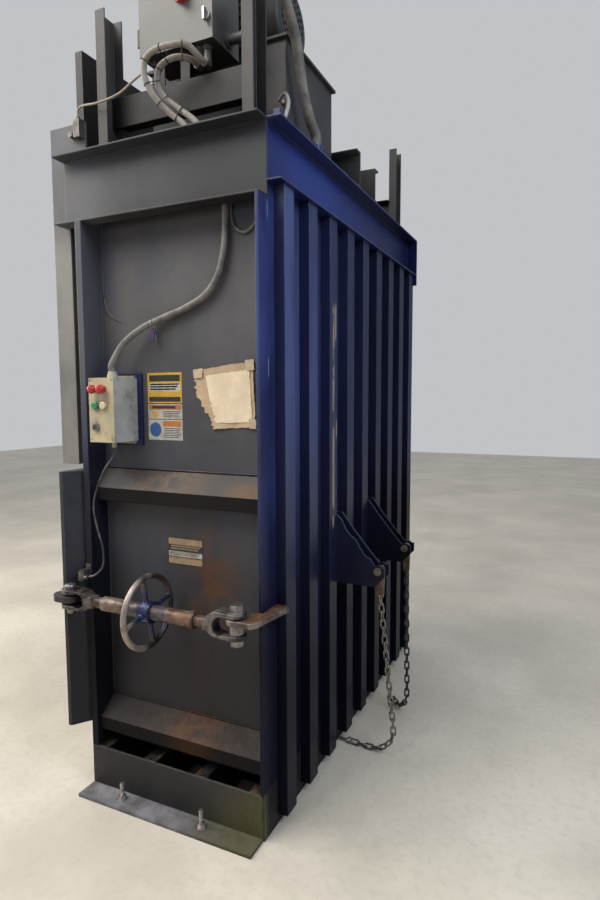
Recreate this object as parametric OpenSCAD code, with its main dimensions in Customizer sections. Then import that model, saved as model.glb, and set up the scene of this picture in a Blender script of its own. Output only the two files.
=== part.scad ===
/* [Frame] */
// Depth of the frame from the door plane to the rear wall plane
frame_d = 784; // [760:2:820]
// Width of the frame between the outer planes of the side header webs
frame_w = 1772; // [1720:2:1840]
// Height of the top of the header beams above the floor
header_top = 2480; // [2460:1:2520]
// Height of the side header beams
side_header_h = 254; // [240:1:265]
// Height of the front and rear header beams
end_header_h = 203; // [190:1:215]
// Reach of the side header flanges beyond their webs
side_flange = 60; // [54:1:64]
// Reach of the front and rear header flanges beyond their webs
end_flange = 54; // [48:1:56]
// Thickness of the header webs and flanges
header_t = 7; // [6:0.5:9]
// Run of the side headers past the door plane
header_overhang = 105; // [100:1:108]

/* [Base] */
// Height of the base up to the top of the floor runners
base_h = 170; // [160:1:185]
// Thickness of the angle leg that forms each side sill
sill_t = 8; // [6:0.5:10]
// Thickness of the bolted floor flange of each side sill
foot_t = 12; // [10:1:16]
// Reach of the bolted floor flange beyond the sill
foot_reach = 86; // [76:1:100]
// Number of floor runners under the chamber
runner_count = 4; // [4:1:5]
// Width of the floor runner flanges
runner_flange = 50; // [44:1:56]
// Thickness of the floor runner channels
runner_t = 7; // [5:0.5:9]
// Thickness of the tie straps that the base stands on
strap_t = 8; // [6:1:12]
// Thickness of the chamber floor plate
floor_t = 12; // [10:1:16]
// Height of the front sill under the door
front_sill_h = 250; // [235:1:254]

/* [Walls] */
// Thickness of the side wall plates
wall_t = 6; // [5:0.5:8]
// Recess of the side wall plates behind the header webs
wall_recess = 40; // [36:1:48]
// Thickness of the rear wall plate
rear_wall_t = 8; // [6:0.5:10]
// Thickness of the rear corner plates
rear_corner_t = 12; // [10:1:16]
// Thickness of the front corner bars
front_corner_t = 28; // [24:1:32]
// Thickness of the bent wall stiffeners
stiffener_t = 8; // [6:0.5:10]
// Height of the outer edge of the upper wall stiffener
upper_stiffener_z = 1218; // [1180:1:1240]
// Height of the outer edge of the lower wall stiffener
lower_stiffener_z = 285; // [275:1:320]
// Height of the upright face of the wall stiffeners
stiffener_face = 50; // [40:1:60]

/* [Rear ribs] */
// Number of upright channels on the rear wall
rib_count = 9; // [7:1:9]
// Width of each rear channel
rib_w = 76; // [60:1:90]
// Depth of each rear channel
rib_d = 41; // [30:1:46]
// Wall thickness of the rear and door channels
rib_t = 5; // [4:0.5:7]
// Spacing of the rear channels
rib_pitch = 203; // [190:1:205]

/* [Door] */
// Height of the bottom edge of the door
door_bottom = 260; // [256:1:280]
// Height of the top edge of the door
door_top = 1284; // [1260:1:1286]
// Thickness of the door plate
door_plate_t = 8; // [6:0.5:10]
// Full depth of the door with its channels
door_d = 74; // [66:1:80]
// Gap between the door and the frame
door_gap = 2; // [1:0.5:4]
// Number of channels across the door
door_rib_count = 6; // [4:1:7]
// Width of each door channel
door_rib_w = 80; // [60:1:90]
// Reach of the slanted latch edge in front of the frame corner
latch_edge_reach = 50; // [44:1:54]
// Radius of the door hinge pins
hinge_pin_r = 14; // [12:0.5:16]
// Radius of the door hinge knuckles
knuckle_r = 24; // [21:0.5:26]
// Height of the door hinge knuckles
knuckle_h = 60; // [50:1:80]

/* [Feed gate] */
// Height of the feed gate panel
gate_h = 1000; // [985:1:1040]
// Height of the bottom edge of the raised feed gate
gate_bottom = 1910; // [1900:1:1950]
// Thickness of the feed gate
gate_t = 35; // [30:1:38]
// Running gap on each face of the feed gate
gate_gap = 0.5; // [0.4:0.1:1.5]
// Width of the front face of the gate guides
guide_w = 88; // [80:1:96]
// Thickness of the gate guide metal
guide_t = 8; // [6:0.5:9]
// Height of the bottom of the gate guides
guide_bottom = 1300; // [1292:1:1340]
// Height of the top of the gate guides
guide_top = 2610; // [2580:1:2650]

/* [Latch] */
// Height of the latch axis above the floor
latch_z = 800; // [780:1:830]
// Distance between the two latch pins
latch_span = 744; // [740:1:750]
// Radius of the latch pins
latch_pin_r = 14; // [12:0.5:15]
// Outer radius of the latch jaw ears
ear_r = 34; // [30:1:35]
// Thickness of the latch jaw ears
ear_t = 16; // [13:1:18]
// Clear height between the latch jaw ears
ear_gap = 76; // [68:1:84]
// Radius of the latch screw
screw_r = 18; // [16:0.5:20]
// Outer radius of the turning sleeve
sleeve_r = 27.5; // [25:0.5:30]
// Length of the turning sleeve
sleeve_len = 407; // [380:1:415]
// Travel of the latch screw
screw_travel = 16; // [12:1:16]
// Outer radius of the handwheel rim
wheel_r = 140; // [120:1:150]
// Radius of the handwheel rim bar
rim_bar_r = 11; // [9:0.5:13]
// Number of handwheel spokes
spoke_count = 4; // [3:1:5]
// Thickness of the door lug and the anchor arm
lug_t = 24; // [20:1:28]

/* [Press] */
// Inner radius of the cylinder barrel
bore_r = 70; // [64:1:76]
// Wall thickness of the cylinder barrel
barrel_t = 14; // [12:1:18]
// Stroke of the press
stroke = 1250; // [1150:5:1300]
// Radius of the piston rod
rod_r = 45; // [40:1:50]
// Height of the platen face when raised
platen_z = 2300; // [2290:1:2310]
// Thickness of the platen plate
platen_t = 20; // [16:1:25]
// Gap between the platen and the chamber walls
platen_gap = 12; // [8:1:16]
// Height of the platen beams
platen_beam_h = 100; // [90:1:110]
// Height of the channels that carry the cylinder
cylinder_beam_h = 152; // [140:1:160]
// Height of the upper columns above the headers
column_h = 505; // [480:5:540]
// Depth of the upper column channels
column_d = 96; // [86:1:102]
// Width of the upper column flanges
column_flange = 43; // [38:1:46]
// Wall thickness of the upper steelwork
column_t = 6; // [5:0.5:8]

/* [Power unit] */
// Length of the hydraulic tank
tank_l = 600; // [540:5:610]
// Width of the hydraulic tank
tank_w = 440; // [400:5:450]
// Height of the hydraulic tank
tank_h = 370; // [330:5:380]
// Radius of the pump motor body
motor_r = 122; // [110:1:126]
// Length of the pump motor body
motor_l = 300; // [270:5:310]

/* [Electrical] */
// Width of the main enclosure
enclosure_w = 314; // [280:2:320]
// Height of the main enclosure
enclosure_h = 450; // [420:5:500]
// Depth of the main enclosure body
enclosure_d = 160; // [140:1:165]
// Wall thickness of the main enclosure
enclosure_t = 3; // [2:0.5:4]
// Width of the control box
box_w = 119; // [115:1:126]
// Height of the control box
box_h = 239; // [230:1:250]
// Depth of the control box
box_d = 130; // [125:1:134]
// Travel of the push buttons
button_travel = 6; // [4:0.5:7]
// Clearance around the push button stems
button_gap = 0.2; // [0.15:0.05:0.4]

/* [Chains] */
// Wire diameter of the chain links
link_wire = 7.5; // [6.5:0.5:8]
// Inside length of the chain links
link_inner = 36; // [34:1:40]
// Outside width of the chain links
link_w = 27; // [25:1:30]
// Reach of the chain brackets out from the rear wall
bracket_reach = 252; // [246:1:262]
// Thickness of the chain bracket plates
bracket_t = 10; // [8:1:12]

/* [Hidden] */
$fn = 48;
// Clearances that several pieces share
seat_gap = 0.3;
pin_clear = 0.05;
// Main planes: front and rear along X, side webs and side walls along Y
xf = -frame_d / 2;
xr = frame_d / 2;
ys = frame_w / 2;
yo = ys + side_flange;
yw = ys - wall_recess;
yi = yw - wall_t;
header_z = header_top - side_header_h;
end_header_z = header_top - end_header_h;
wall_in_x0 = xf + front_corner_t;
wall_in_x1 = xr - rear_corner_t;
// Door planes: plate against the frame, channels outside it
door_x1 = xf - door_gap;
door_x0 = door_x1 - door_d;
plate_x = door_x1 - door_plate_t;
door_y0 = -(ys + 30);
door_y1 = ys + 14;
tip_y = -(yo + latch_edge_reach);
hinge_x = door_x0 - 12;
hinge_y = door_y1 + 26;
// Gate planes: the gate slides just outside the front header flanges
gate_x1 = xf - end_flange - 4;
gate_x0 = gate_x1 - gate_t;
gate_y = yi - 21;
guide_y = ys - header_t;
guide_x1 = xf - 88;
// Latch pins, both on one line in front of the frame
latch_y = -(yo + 72);
left_pin_x = xf - 16;
right_pin_x = left_pin_x + latch_span;
ear_z = ear_gap / 2;
jaw_len = 128;
sleeve_x0 = right_pin_x - jaw_len - 39 - sleeve_len;
sleeve_x1 = sleeve_x0 + sleeve_len;
wheel_x = sleeve_x0 + 203;
// Upper works
column_xs = [xf + 76, xr - 89];
beam_z = header_top + 110;
beam_h = 110;
cyl_beam_y = bore_r + barrel_t + 18;
barrel_r = bore_r + barrel_t;
gland_h = 40;
gland_z = header_top + 10;
platen_top = platen_z + platen_t;
seat_z = platen_top + 60;
piston_h = 80;
piston_z = gland_z + gland_h + stroke + 20;
barrel_top = piston_z + piston_h + 10;
// Electrical boxes, set in from the wall face, or out as far as the tank behind them needs
unit_gap = 30;
beam_clear = 94;
enc_x0 = -150;
enc_x1 = enc_x0 + enclosure_w;
enc_z = header_top + 320;
enc_y0 = min(-yw + 20, -(cyl_beam_y + beam_clear + tank_w + unit_gap + enclosure_d));
enc_y1 = enc_y0 + enclosure_d;
enc_door_t = 16;
elbow_y = enc_y0 + 26;
elbow_out = elbow_y - 22;
elbow_z = enc_z - 62;
elbow_xs = [enc_x1 - 48, enc_x1 - 80];
// Power unit behind the enclosure
tank_x1 = xr - 50;
tank_y0 = enc_y1 + unit_gap;
tank_y1 = tank_y0 + tank_w;
tank_z = header_top + 20;
tank_top = tank_z + tank_h;
motor_x1 = xr - 172;
motor_y = tank_y0 + motor_r + 24;
motor_z = tank_top + motor_r + 8;
valve_y = tank_y1 - 94;
// Packing blocks behind the side headers, where the cords run in
pack_z0 = header_top - 140;
pack_z1 = header_top - 50;
hub_x = xr + 18;
hub_y = -520;
hub_z = header_top + 32;
box_x0 = xf + 80;
box_x1 = box_x0 + box_w;
box_z = 1402;
box_y1 = -yw - 10;
box_y0 = box_y1 - box_d;
// Chains and their brackets, at these places across the rear wall
chain_ys = [-319, 97];
bracket_gap = 54;
bracket_z = 848;
chain_pin_x = xr + bracket_reach - 28;
hanger_len = 112;
eye_r = 7;
chain_top = bracket_z - hanger_len - eye_r + 2.4;
link_step = link_inner - 0.8;
link_lie = (link_w - link_wire) / 2 * sin(45) + link_wire / 2 + 0.5;
// Routes of the chains, from the hanger down and out over the floor
near_links = 25;
near_chain_route = [
    [chain_pin_x - 1, chain_ys[0] - 1, chain_top], [664, -265, link_lie + 110],
    [659, -262, link_lie + 75], [644, -259, link_lie + 44.7], [620, -256.5, link_lie + 20.7],
    [590, -253.5, link_lie + 5.3], [556, -250, link_lie], [440, -238, link_lie]
];
far_links = 23;
far_chain_route = [
    [chain_pin_x, chain_ys[1], chain_top], [626, 100, link_lie + 110],
    [622.7, 104, link_lie + 75], [612.1, 115, link_lie + 44.7], [595.7, 132.6, link_lie + 20.7],
    [575, 154.7, link_lie + 5.3], [552, 179, link_lie], [512, 222, link_lie]
];
// Routes of the cords: points chosen by hand, millimetres
conduit_r = 12.5;
control_route = [
    [218, -863, 2340], [218, -863, 2160], [209, -863, 2072], [181, -863, 1988], [126, -863, 1928],
    [40, -863, 1889], [-50, -864, 1862], [-140, -882, 1825], [-208, -906, 1770],
    [-246, -930, 1695], [-246, -930, 1665]
];
latch_cable_r = 4;
latch_cable_route = [
    [-245, -930, 1380], [-245, -930, 1355], [-302, -937, 1280], [-348, -942, 1165],
    [-338, -942, 1075], [-313, -939, 985], [-316, -940, 912], [-345, -952, 878],
    [-364, -965, 872]
];
loop_r = 11;
outer_loop_route = [
    [116, -822, 2738], [116, -850, 2738], [98, -902, 2760], [55, -930, 2756], [-8, -936, 2752],
    [-52, -936, 2728], [-60, -930, 2675], [-36, -906, 2615], [4, -876, 2566], [52, -863, 2526],
    [90, -863, 2470], [90, -863, 2430]
];
inner_loop_route = [
    [84, -822, 2738], [84, -850, 2738], [60, -884, 2738], [14, -889, 2737], [-28, -890, 2716],
    [-39, -886, 2668], [-16, -875, 2622], [40, -864, 2575], [102, -863, 2525],
    [136, -863, 2468], [136, -863, 2430]
];
gate_cable_r = 4;
gate_cable_route = [
    [-112, -800, 2780], [-112, -800, 2762], [-108, -878, 2722], [-126, -906, 2692],
    [-190, -916, 2654], [-290, -913, 2645], [-380, -902, 2655], [-407, -895, 2644],
    [-407, -895, 2624]
];
motor_conduit_r = 19;
motor_conduit_route = [
    [190, -750, 3130], [230, -750, 3130], [330, -786, 3112], [382, -790, 3025], [392, -745, 2925],
    [392, -655, 2828], [392, -603, 2700], [401, -556, 2598], [hub_x, hub_y, hub_z + 38],
    [hub_x, hub_y, hub_z]
];
header_cable_r = 7;
header_cable_route = [
    [328, -636, 2640], [328, -656, 2640], [372, -704, 2630], [408, -752, 2572],
    [412, -793, 2502], [412, -815, 2502]
];
wall_loop_r = 5;
wall_loop_route = [
    [233, -852, 2340], [233, -852, 2225], [244, -852, 2160], [288, -852, 2132],
    [331, -852, 2163], [343, -852, 2228], [343, -852, 2340]
];
wall_wire_r = 2;
wall_wire_route = [
    [-352, -848.5, 2300], [-352, -848.5, 2120], [-350, -848.5, 1960], [-322, -848.5, 1890],
    [-271, -848.5, 1859]
];

// Paint and metal colours
navy = [0.10, 0.12, 0.26];
slate = [0.20, 0.21, 0.24];
rusty = [0.38, 0.30, 0.25];
steel = [0.55, 0.54, 0.52];
box_grey = [0.62, 0.63, 0.57];

// A box between two corners
module block(lo, hi) {
    translate(lo) cube(hi - lo);
}

// A profile drawn in Y and Z, run along X
module along_x(x0, x1) {
    translate([x0, 0, 0]) rotate([90, 0, 90]) linear_extrude(x1 - x0) children();
}

// A profile drawn in X and Z, run along Y
module along_y(y0, y1) {
    translate([0, y1, 0]) rotate([90, 0, 0]) linear_extrude(y1 - y0) children();
}

// A profile drawn in X and Y, run along Z
module along_z(z0, z1) {
    translate([0, 0, z0]) linear_extrude(z1 - z0) children();
}

// The same piece on the control side and mirrored on the far side
module both_sides() {
    children();
    mirror([0, 1, 0]) children();
}

// Rolled channel section: web along the first axis, flanges tapering to their tips
module channel_section(depth, flange, t) {
    polygon([
        [0, 0], [depth, 0], [depth, flange], [depth - 0.8 * t, flange], [depth - 1.3 * t, t],
        [1.3 * t, t], [0.8 * t, flange], [0, flange]
    ]);
}

// Upright cylinder and lying cylinders by their end positions
module rod_z(x, y, z0, z1, r) {
    translate([x, y, z0]) cylinder(h = z1 - z0, r = r);
}

module rod_x(y, z, x0, x1, r) {
    translate([x0, y, z]) rotate([0, 90, 0]) cylinder(h = x1 - x0, r = r);
}

module rod_y(x, z, y0, y1, r) {
    translate([x, y1, z]) rotate([90, 0, 0]) cylinder(h = y1 - y0, r = r);
}

// Hexagonal head or nut standing on Z
module hex(x, y, z0, z1, across) {
    translate([x, y, z0]) cylinder(h = z1 - z0, r = across / sqrt(3), $fn = 6);
}

// Round tube swept along a route as one closed solid
function unit(v) = v / norm(v);
function route_dir(p, i) = unit(p[min(i + 1, len(p) - 1)] - p[max(i - 1, 0)]);
function route_side(d) = abs(d.z) > 0.9 ? unit(cross(d, [1, 0, 0])) : unit(cross(d, [0, 0, 1]));
function carried_side(p, i) =
    i == 0 ? route_side(route_dir(p, 0))
    : let (d = route_dir(p, i), s = carried_side(p, i - 1)) unit(s - d * (s * d));
module swept_tube(route, r, sides = 8) {
    rings = [
        for (i = [0 : len(route) - 1])
            let (d = route_dir(route, i), s = carried_side(route, i), t = cross(d, s))
                for (k = [0 : sides - 1])
                    route[i] + r * (cos(360 * k / sides) * s + sin(360 * k / sides) * t)
    ];
    last = (len(route) - 1) * sides;
    faces = concat(
        [[for (k = [0 : sides - 1]) k]],
        [
            for (i = [0 : len(route) - 2], k = [0 : sides - 1])
                let (a = i * sides + k, b = i * sides + (k + 1) % sides)
                    [b, a, a + sides]
        ],
        [
            for (i = [0 : len(route) - 2], k = [0 : sides - 1])
                let (a = i * sides + k, b = i * sides + (k + 1) % sides)
                    [b, a + sides, b + sides]
        ],
        [[for (k = [sides - 1 : -1 : 0]) last + k]]
    );
    polyhedron(points = rings, faces = faces, convexity = 6);
}

// Base

anchor_xs = [-212, 154];
anchor_y = -(yo + 39);

module side_sill() {
    difference() {
        along_x(xf, xr - 6) polygon([
            [-yo - foot_reach, 0], [-yo + sill_t, 0], [-yo + sill_t, base_h],
            [-yo, base_h], [-yo, foot_t], [-yo - foot_reach, foot_t]
        ]);
        for (x = anchor_xs) rod_z(x, anchor_y, -1, foot_t + 1, 9);
    }
}

module base_sills() {
    color(slate) {
        both_sides() side_sill();
        block([xf, -yo + sill_t, 0], [xf + 8, yo - sill_t, base_h]);
        block([xf, -yi, base_h - 1], [xf + 8, yi, front_sill_h]);
        block([xr - rear_wall_t, -yo + sill_t, 0], [xr, yo - sill_t, base_h]);
    }
}

module floor_runners() {
    first = xf + 8 + seat_gap + 12;
    last = xr - rear_wall_t - 2 - runner_flange;
    color(rusty) {
        for (i = [0 : runner_count - 1]) {
            x = first + i * (last - first) / (runner_count - 1);
            along_y(-yo + sill_t, yo - sill_t)
                translate([x, strap_t]) rotate(90) mirror([0, 1])
                    channel_section(base_h - strap_t, runner_flange, runner_t);
        }
        for (y = [-ys * 0.7, 0, ys * 0.7])
            block([xf + 8, y - 50, 0], [xr - rear_wall_t, y + 50, strap_t]);
    }
}

module floor_plate() {
    color(rusty) block([xf + 8, -yi, base_h], [xr - rear_wall_t, yi, base_h + floor_t]);
}

// Walls

module side_walls() {
    color(slate) both_sides() block([wall_in_x0, -yw, base_h], [wall_in_x1, -yi, header_top]);
}

module rear_wall() {
    color(navy) block([xr - rear_wall_t, -yi, base_h], [xr, yi, end_header_z]);
}

module rear_ribs() {
    color(navy) for (i = [0 : rib_count - 1])
        along_z(40, end_header_z)
            translate([xr + rib_d, -yi + 1 + i * rib_pitch]) rotate(90)
                channel_section(rib_w, rib_d, rib_t);
}

// Corner plate outline in Y and Z, notched round the side header
module corner_outline() {
    polygon([
        [-yo, base_h], [-yi, base_h], [-yi, end_header_z], [-ys + header_t, end_header_z],
        [-ys + header_t, header_z], [-yo, header_z]
    ]);
}

module corner_posts() {
    color(navy) both_sides() {
        along_x(xf, wall_in_x0) corner_outline();
        along_x(wall_in_x1, xr) corner_outline();
    }
}

// Bent plate that stands off the wall: sloped top and upright face
module wall_stiffener(z, reach, rise) {
    t = stiffener_t;
    slope_t = t * norm([reach, rise]) / reach;
    along_x(wall_in_x0, wall_in_x1) polygon([
        [-yw, z + rise], [-yw - reach, z], [-yw - reach, z - stiffener_face],
        [-yw - reach + t, z - stiffener_face], [-yw - reach + t, z + t * rise / reach - slope_t],
        [-yw, z + rise - slope_t]
    ]);
}

module wall_stiffeners() {
    color(slate) both_sides() {
        wall_stiffener(upper_stiffener_z, 60, 72);
        wall_stiffener(lower_stiffener_z, 80, 65);
    }
}

// Headers

module side_headers() {
    color(slate) both_sides() {
        along_x(xf - header_overhang, xr)
            translate([-ys + header_t, header_z]) rotate(90)
                header_section(side_header_h, side_flange + header_t);
        block([60, -ys + header_t, pack_z0], [360, -yw, pack_z1]);
        block([-370, -ys + header_t, pack_z0 - 40], [-338, -yw, pack_z0]);
    }
}

// Header section: web on the first axis, flanges along the second
module header_section(h, flange) {
    t = header_t;
    polygon([
        [0, 0], [h, 0], [h, flange], [h - 0.85 * t, flange], [h - 1.2 * t, t],
        [1.2 * t, t], [0.85 * t, flange], [0, flange]
    ]);
}

module end_header() {
    along_y(-ys + header_t, ys - header_t)
        translate([xr - header_t, end_header_z]) rotate(90) mirror([0, 1])
            header_section(end_header_h, end_flange + header_t);
}

module end_headers() {
    end_plate_drop = 55;
    color(navy) {
        end_header();
        for (z = [end_header_z, header_top - header_t * 0.85]) both_sides()
            block([xr, -ys, z], [xr + end_flange, -ys + header_t, z + header_t * 0.85]);
        block([xr, ys, end_header_z - end_plate_drop], [xr + end_flange, ys + 10, header_top]);
        mirror([1, 0, 0]) end_header();
        rod_z(hub_x, hub_y, header_top, hub_z, 24);
        block([xr + 8, -850, header_top], [xr + 32, -815, header_top + 34]);
    }
}

// Feed gate and its guides

// Guide outline in X and Y: front face, sliding leg and outer return
module guide_outline() {
    t = guide_t;
    x1 = guide_x1;
    x0 = x1 - guide_w;
    leg = gate_x0 - gate_gap;
    polygon([
        [x0, -guide_y], [x1, -guide_y], [x1, -guide_y + t], [leg, -guide_y + t],
        [leg, -gate_y + 30], [leg - t, -gate_y + 30], [leg - t, -guide_y + t],
        [x0 + t, -guide_y + t], [x0 + t, -guide_y + 62], [x0, -guide_y + 62]
    ]);
}

module gate_guides() {
    color(slate) both_sides() {
        along_z(guide_bottom, guide_top) guide_outline();
        block([guide_x1, -guide_y, header_top], [xf + 4, -guide_y + guide_t, guide_top]);
        block([gate_x1 + gate_gap, -yi - 26, door_top + 16], [xf, -yi + 40, end_header_z]);
    }
}

module feed_gate() {
    rows = 5;
    cols = 4;
    rim = 8;
    skin = 5;
    cell_y = (2 * gate_y - rim) / cols;
    cell_z = (gate_h - rim) / rows;
    grip_z = gate_bottom + cell_z + rim / 2;
    color(slate) {
        difference() {
            block([gate_x0, -gate_y, gate_bottom], [gate_x1, gate_y, gate_bottom + gate_h]);
            for (c = [0 : cols - 1], r = [0 : rows - 1])
                translate([gate_x0 - 1, -gate_y + rim + c * cell_y, gate_bottom + rim + r * cell_z])
                    cube([gate_t - skin + 1, cell_y - rim, cell_z - rim]);
        }
        for (y = [-90, 90]) rod_x(y, grip_z, gate_x0 - 38, gate_x0, 8);
        rod_y(gate_x0 - 38, grip_z, -110, 110, 10);
    }
}

// Upper steelwork

module upper_columns() {
    color(slate) both_sides() for (x = column_xs)
        along_z(header_top, header_top + column_h)
            translate([x, -ys + column_d]) rotate(-90)
                channel_section(column_d, column_flange, column_t);
}

module top_crossbeams() {
    y = -ys + 70;
    color(slate) {
        both_sides() {
            along_x(column_xs[0] + column_flange, column_xs[1])
                translate([y, beam_z]) rotate(90) mirror([0, 1])
                    channel_section(beam_h, 45, column_t);
            block(
                [column_xs[0] + column_t, y, beam_z],
                [column_xs[0] + column_flange + 1, y + column_t, beam_z + beam_h]
            );
        }
        for (ty = [tank_y0 + 60, tank_y1 - 60])
            block([xf - 40, ty - 25, header_top], [xr + 40, ty + 25, tank_z]);
        for (x = [enc_x0 + 50, enc_x1 - 154])
            along_z(beam_z + beam_h, enc_z)
                translate([x, y]) polygon([[0, 0], [40, 0], [40, 5], [5, 5], [5, 40], [0, 40]]);
    }
}

// Press cylinder, rod and platen

module cylinder_beams() {
    z1 = header_top + cylinder_beam_h;
    color(navy) {
        both_sides() along_x(xf - 50, xr + 50)
            translate([-cyl_beam_y, header_top]) rotate(90)
                channel_section(cylinder_beam_h, 50, 8);
        difference() {
            block([-170, -170, z1], [170, 170, z1 + 20]);
            rod_z(0, 0, z1 - 1, z1 + 21, barrel_r + 0.5);
            for (a = [45 : 90 : 315]) rotate(a) rod_z(barrel_r + 34, 0, z1 - 1, z1 + 21, 10);
        }
    }
}

module cylinder_barrel() {
    flange_z = header_top + cylinder_beam_h + 20;
    foot = gland_z + gland_h;
    color(slate) {
        difference() {
            union() {
                rod_z(0, 0, foot, barrel_top + 30, barrel_r);
                rod_z(0, 0, flange_z, flange_z + 26, barrel_r + 58);
                rod_z(0, 0, barrel_top - 10, barrel_top + 40, barrel_r + 8);
                rod_x(0, foot + 60, 0, barrel_r + 26, 18);
                rod_x(0, barrel_top - 40, 0, barrel_r + 26, 18);
            }
            rod_z(0, 0, foot - 1, barrel_top, bore_r);
            rod_x(0, foot + 60, 0, barrel_r + 27, 9);
            rod_x(0, barrel_top - 40, 0, barrel_r + 27, 9);
            for (a = [45 : 90 : 315]) rotate(a)
                rod_z(barrel_r + 34, 0, flange_z - 1, flange_z + 27, 10);
        }
        difference() {
            union() {
                rod_z(0, 0, gland_z, foot, barrel_r);
                rod_z(0, 0, foot, foot + 12, bore_r);
            }
            rod_z(0, 0, gland_z - 1, foot + 13, rod_r + pin_clear);
        }
        for (a = [45 : 90 : 315]) rotate(a) {
            rod_z(barrel_r + 34, 0, flange_z - 24, flange_z + 26, 9);
            hex(barrel_r + 34, 0, flange_z + 26, flange_z + 38, 28);
        }
    }
}

module piston_rod() {
    color(steel) {
        rod_z(0, 0, seat_z - 40, piston_z, rod_r);
        rod_z(0, 0, piston_z, piston_z + piston_h, bore_r - pin_clear);
    }
}

module platen_plate() {
    x = xr - header_t - platen_gap;
    y = yi - platen_gap;
    color(rusty) block([-x, -y, platen_z], [x, y, platen_top]);
}

module platen_beams() {
    x = xr - header_t - platen_gap - 20;
    y = yi - platen_gap - 20;
    h = platen_beam_h;
    color(navy) {
        for (bx = [-x, -x / 3 - 30, x / 3 - 15, x - 45])
            along_y(-y, y) translate([bx, platen_top]) rotate(90) mirror([0, 1])
                channel_section(h, 45, 7);
        difference() {
            rod_z(0, 0, platen_top, seat_z, rod_r + 22);
            rod_z(0, 0, seat_z - 40, seat_z + 1, rod_r);
        }
    }
}

// Power unit

module hydraulic_tank() {
    x0 = tank_x1 - tank_l;
    y0 = tank_y0;
    color(slate) {
        block([x0, y0, tank_z], [tank_x1, tank_y1, tank_top - 10]);
        block([x0 - 14, y0 - 14, tank_top - 10], [tank_x1 + 14, tank_y1 + 14, tank_top]);
        rod_z(x0 + 50, y0 + 60, tank_top, tank_top + 26, 22);
        rod_z(x0 + 50, y0 + 60, tank_top + 26, tank_top + 50, 30);
    }
}

module pump_motor() {
    x1 = motor_x1;
    x0 = x1 - motor_l;
    fins = 20;
    fin_h = 9;
    r = motor_r - fin_h;
    color(slate) {
        difference() {
            union() {
                rod_x(motor_y, motor_z, x0, x1, r);
                for (i = [0 : fins - 1])
                    translate([x0 + 20, motor_y, motor_z]) rotate([i * 360 / fins, 0, 0])
                        translate([0, -2.5, 0]) cube([motor_l - 40, 5, motor_r]);
                for (x = [x0 + 40, x1 - 90], y = [-90, 50])
                    block([x, motor_y + y, tank_top], [x + 50, motor_y + y + 40, motor_z - 50]);
                rod_x(motor_y, motor_z, x0 - 90, x0, 85);
                rod_x(motor_y, motor_z, x0 - 200, x0 - 90, 58);
            }
            rod_x(motor_y, motor_z, x1 - 20, x1 + 1, 20);
        }
        block([x0 + 90, motor_y - 60, motor_z + motor_r], [x0 + 200, motor_y + 60, motor_z + motor_r + 60]);
        block([x0 - 60, valve_y - 50, tank_top], [x0 + 60, valve_y + 50, tank_top + 90]);
        for (x = [x0 - 60, x0 + 60])
            rod_x(valve_y, tank_top + 55, min(x, x + sign(x - x0) * 60),
                max(x, x + sign(x - x0) * 60), 24);
    }
}

module fan_cowl() {
    x0 = motor_x1 - 10;
    x1 = motor_x1 + 80;
    r = motor_r + 8;
    color(slate) difference() {
        union() {
            rod_x(motor_y, motor_z, x0, x1 - 18, r);
            translate([x1 - 18, motor_y, motor_z]) rotate([0, 90, 0]) rotate_extrude()
                polygon([[0, 0], [r, 0], [r - 2, 8], [r - 8, 14], [r - 18, 18], [0, 18]]);
        }
        rod_x(motor_y, motor_z, x0 - 1, x1 - 18, r - 3);
        translate([x1 - 19, motor_y, motor_z]) rotate([0, 90, 0]) rotate_extrude()
            polygon([[0, 0], [r - 3, 0], [r - 11, 11], [r - 20, 15], [0, 15]]);
        for (ring = [1 : 4], i = [0 : 6 * ring - 1])
            translate([x1 - 10, motor_y, motor_z]) rotate([i * 60 / ring, 0, 0])
                translate([0, 0, ring * 22]) rotate([0, 90, 0]) cylinder(h = 20, r = 7, $fn = 16);
    }
}

// Main electrical enclosure

handle_x = enc_x0 + enclosure_w * 0.62;
handle_z = enc_z + 185;
knob_x = enc_x1 - 22;
knob_z = enc_z + 72;

module electrical_enclosure() {
    t = enclosure_t;
    color(box_grey) {
        difference() {
            block([enc_x0, enc_y0, enc_z], [enc_x1, enc_y1, enc_z + enclosure_h]);
            block([enc_x0 + t, enc_y0 - 1, enc_z + t], [enc_x1 - t, enc_y1 - t, enc_z + enclosure_h - t]);
            for (x = elbow_xs) rod_z(x, elbow_y, enc_z - 1, enc_z + t + 1, 9);
        }
        for (x = elbow_xs) {
            rod_z(x, elbow_y, elbow_z, enc_z - 14, 14);
            rod_z(x, elbow_y, enc_z - 14, enc_z, 17);
            rod_y(x, elbow_z, elbow_out, elbow_y, 14);
            translate([x, elbow_y, elbow_z]) sphere(r = 14);
        }
        rod_z(-112, elbow_y, enc_z - 20, enc_z, 9);
        rod_x(enc_y0 + 80, enc_z + 35, enc_x1, enc_x1 + 68, 18);
        rod_x(enc_y0 + 80, enc_z + 35, enc_x1, enc_x1 + 10, 25);
        rod_x(enc_y0 + 76, enc_z + 330, enc_x1, enc_x1 + 26, 24);
    }
}

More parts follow.
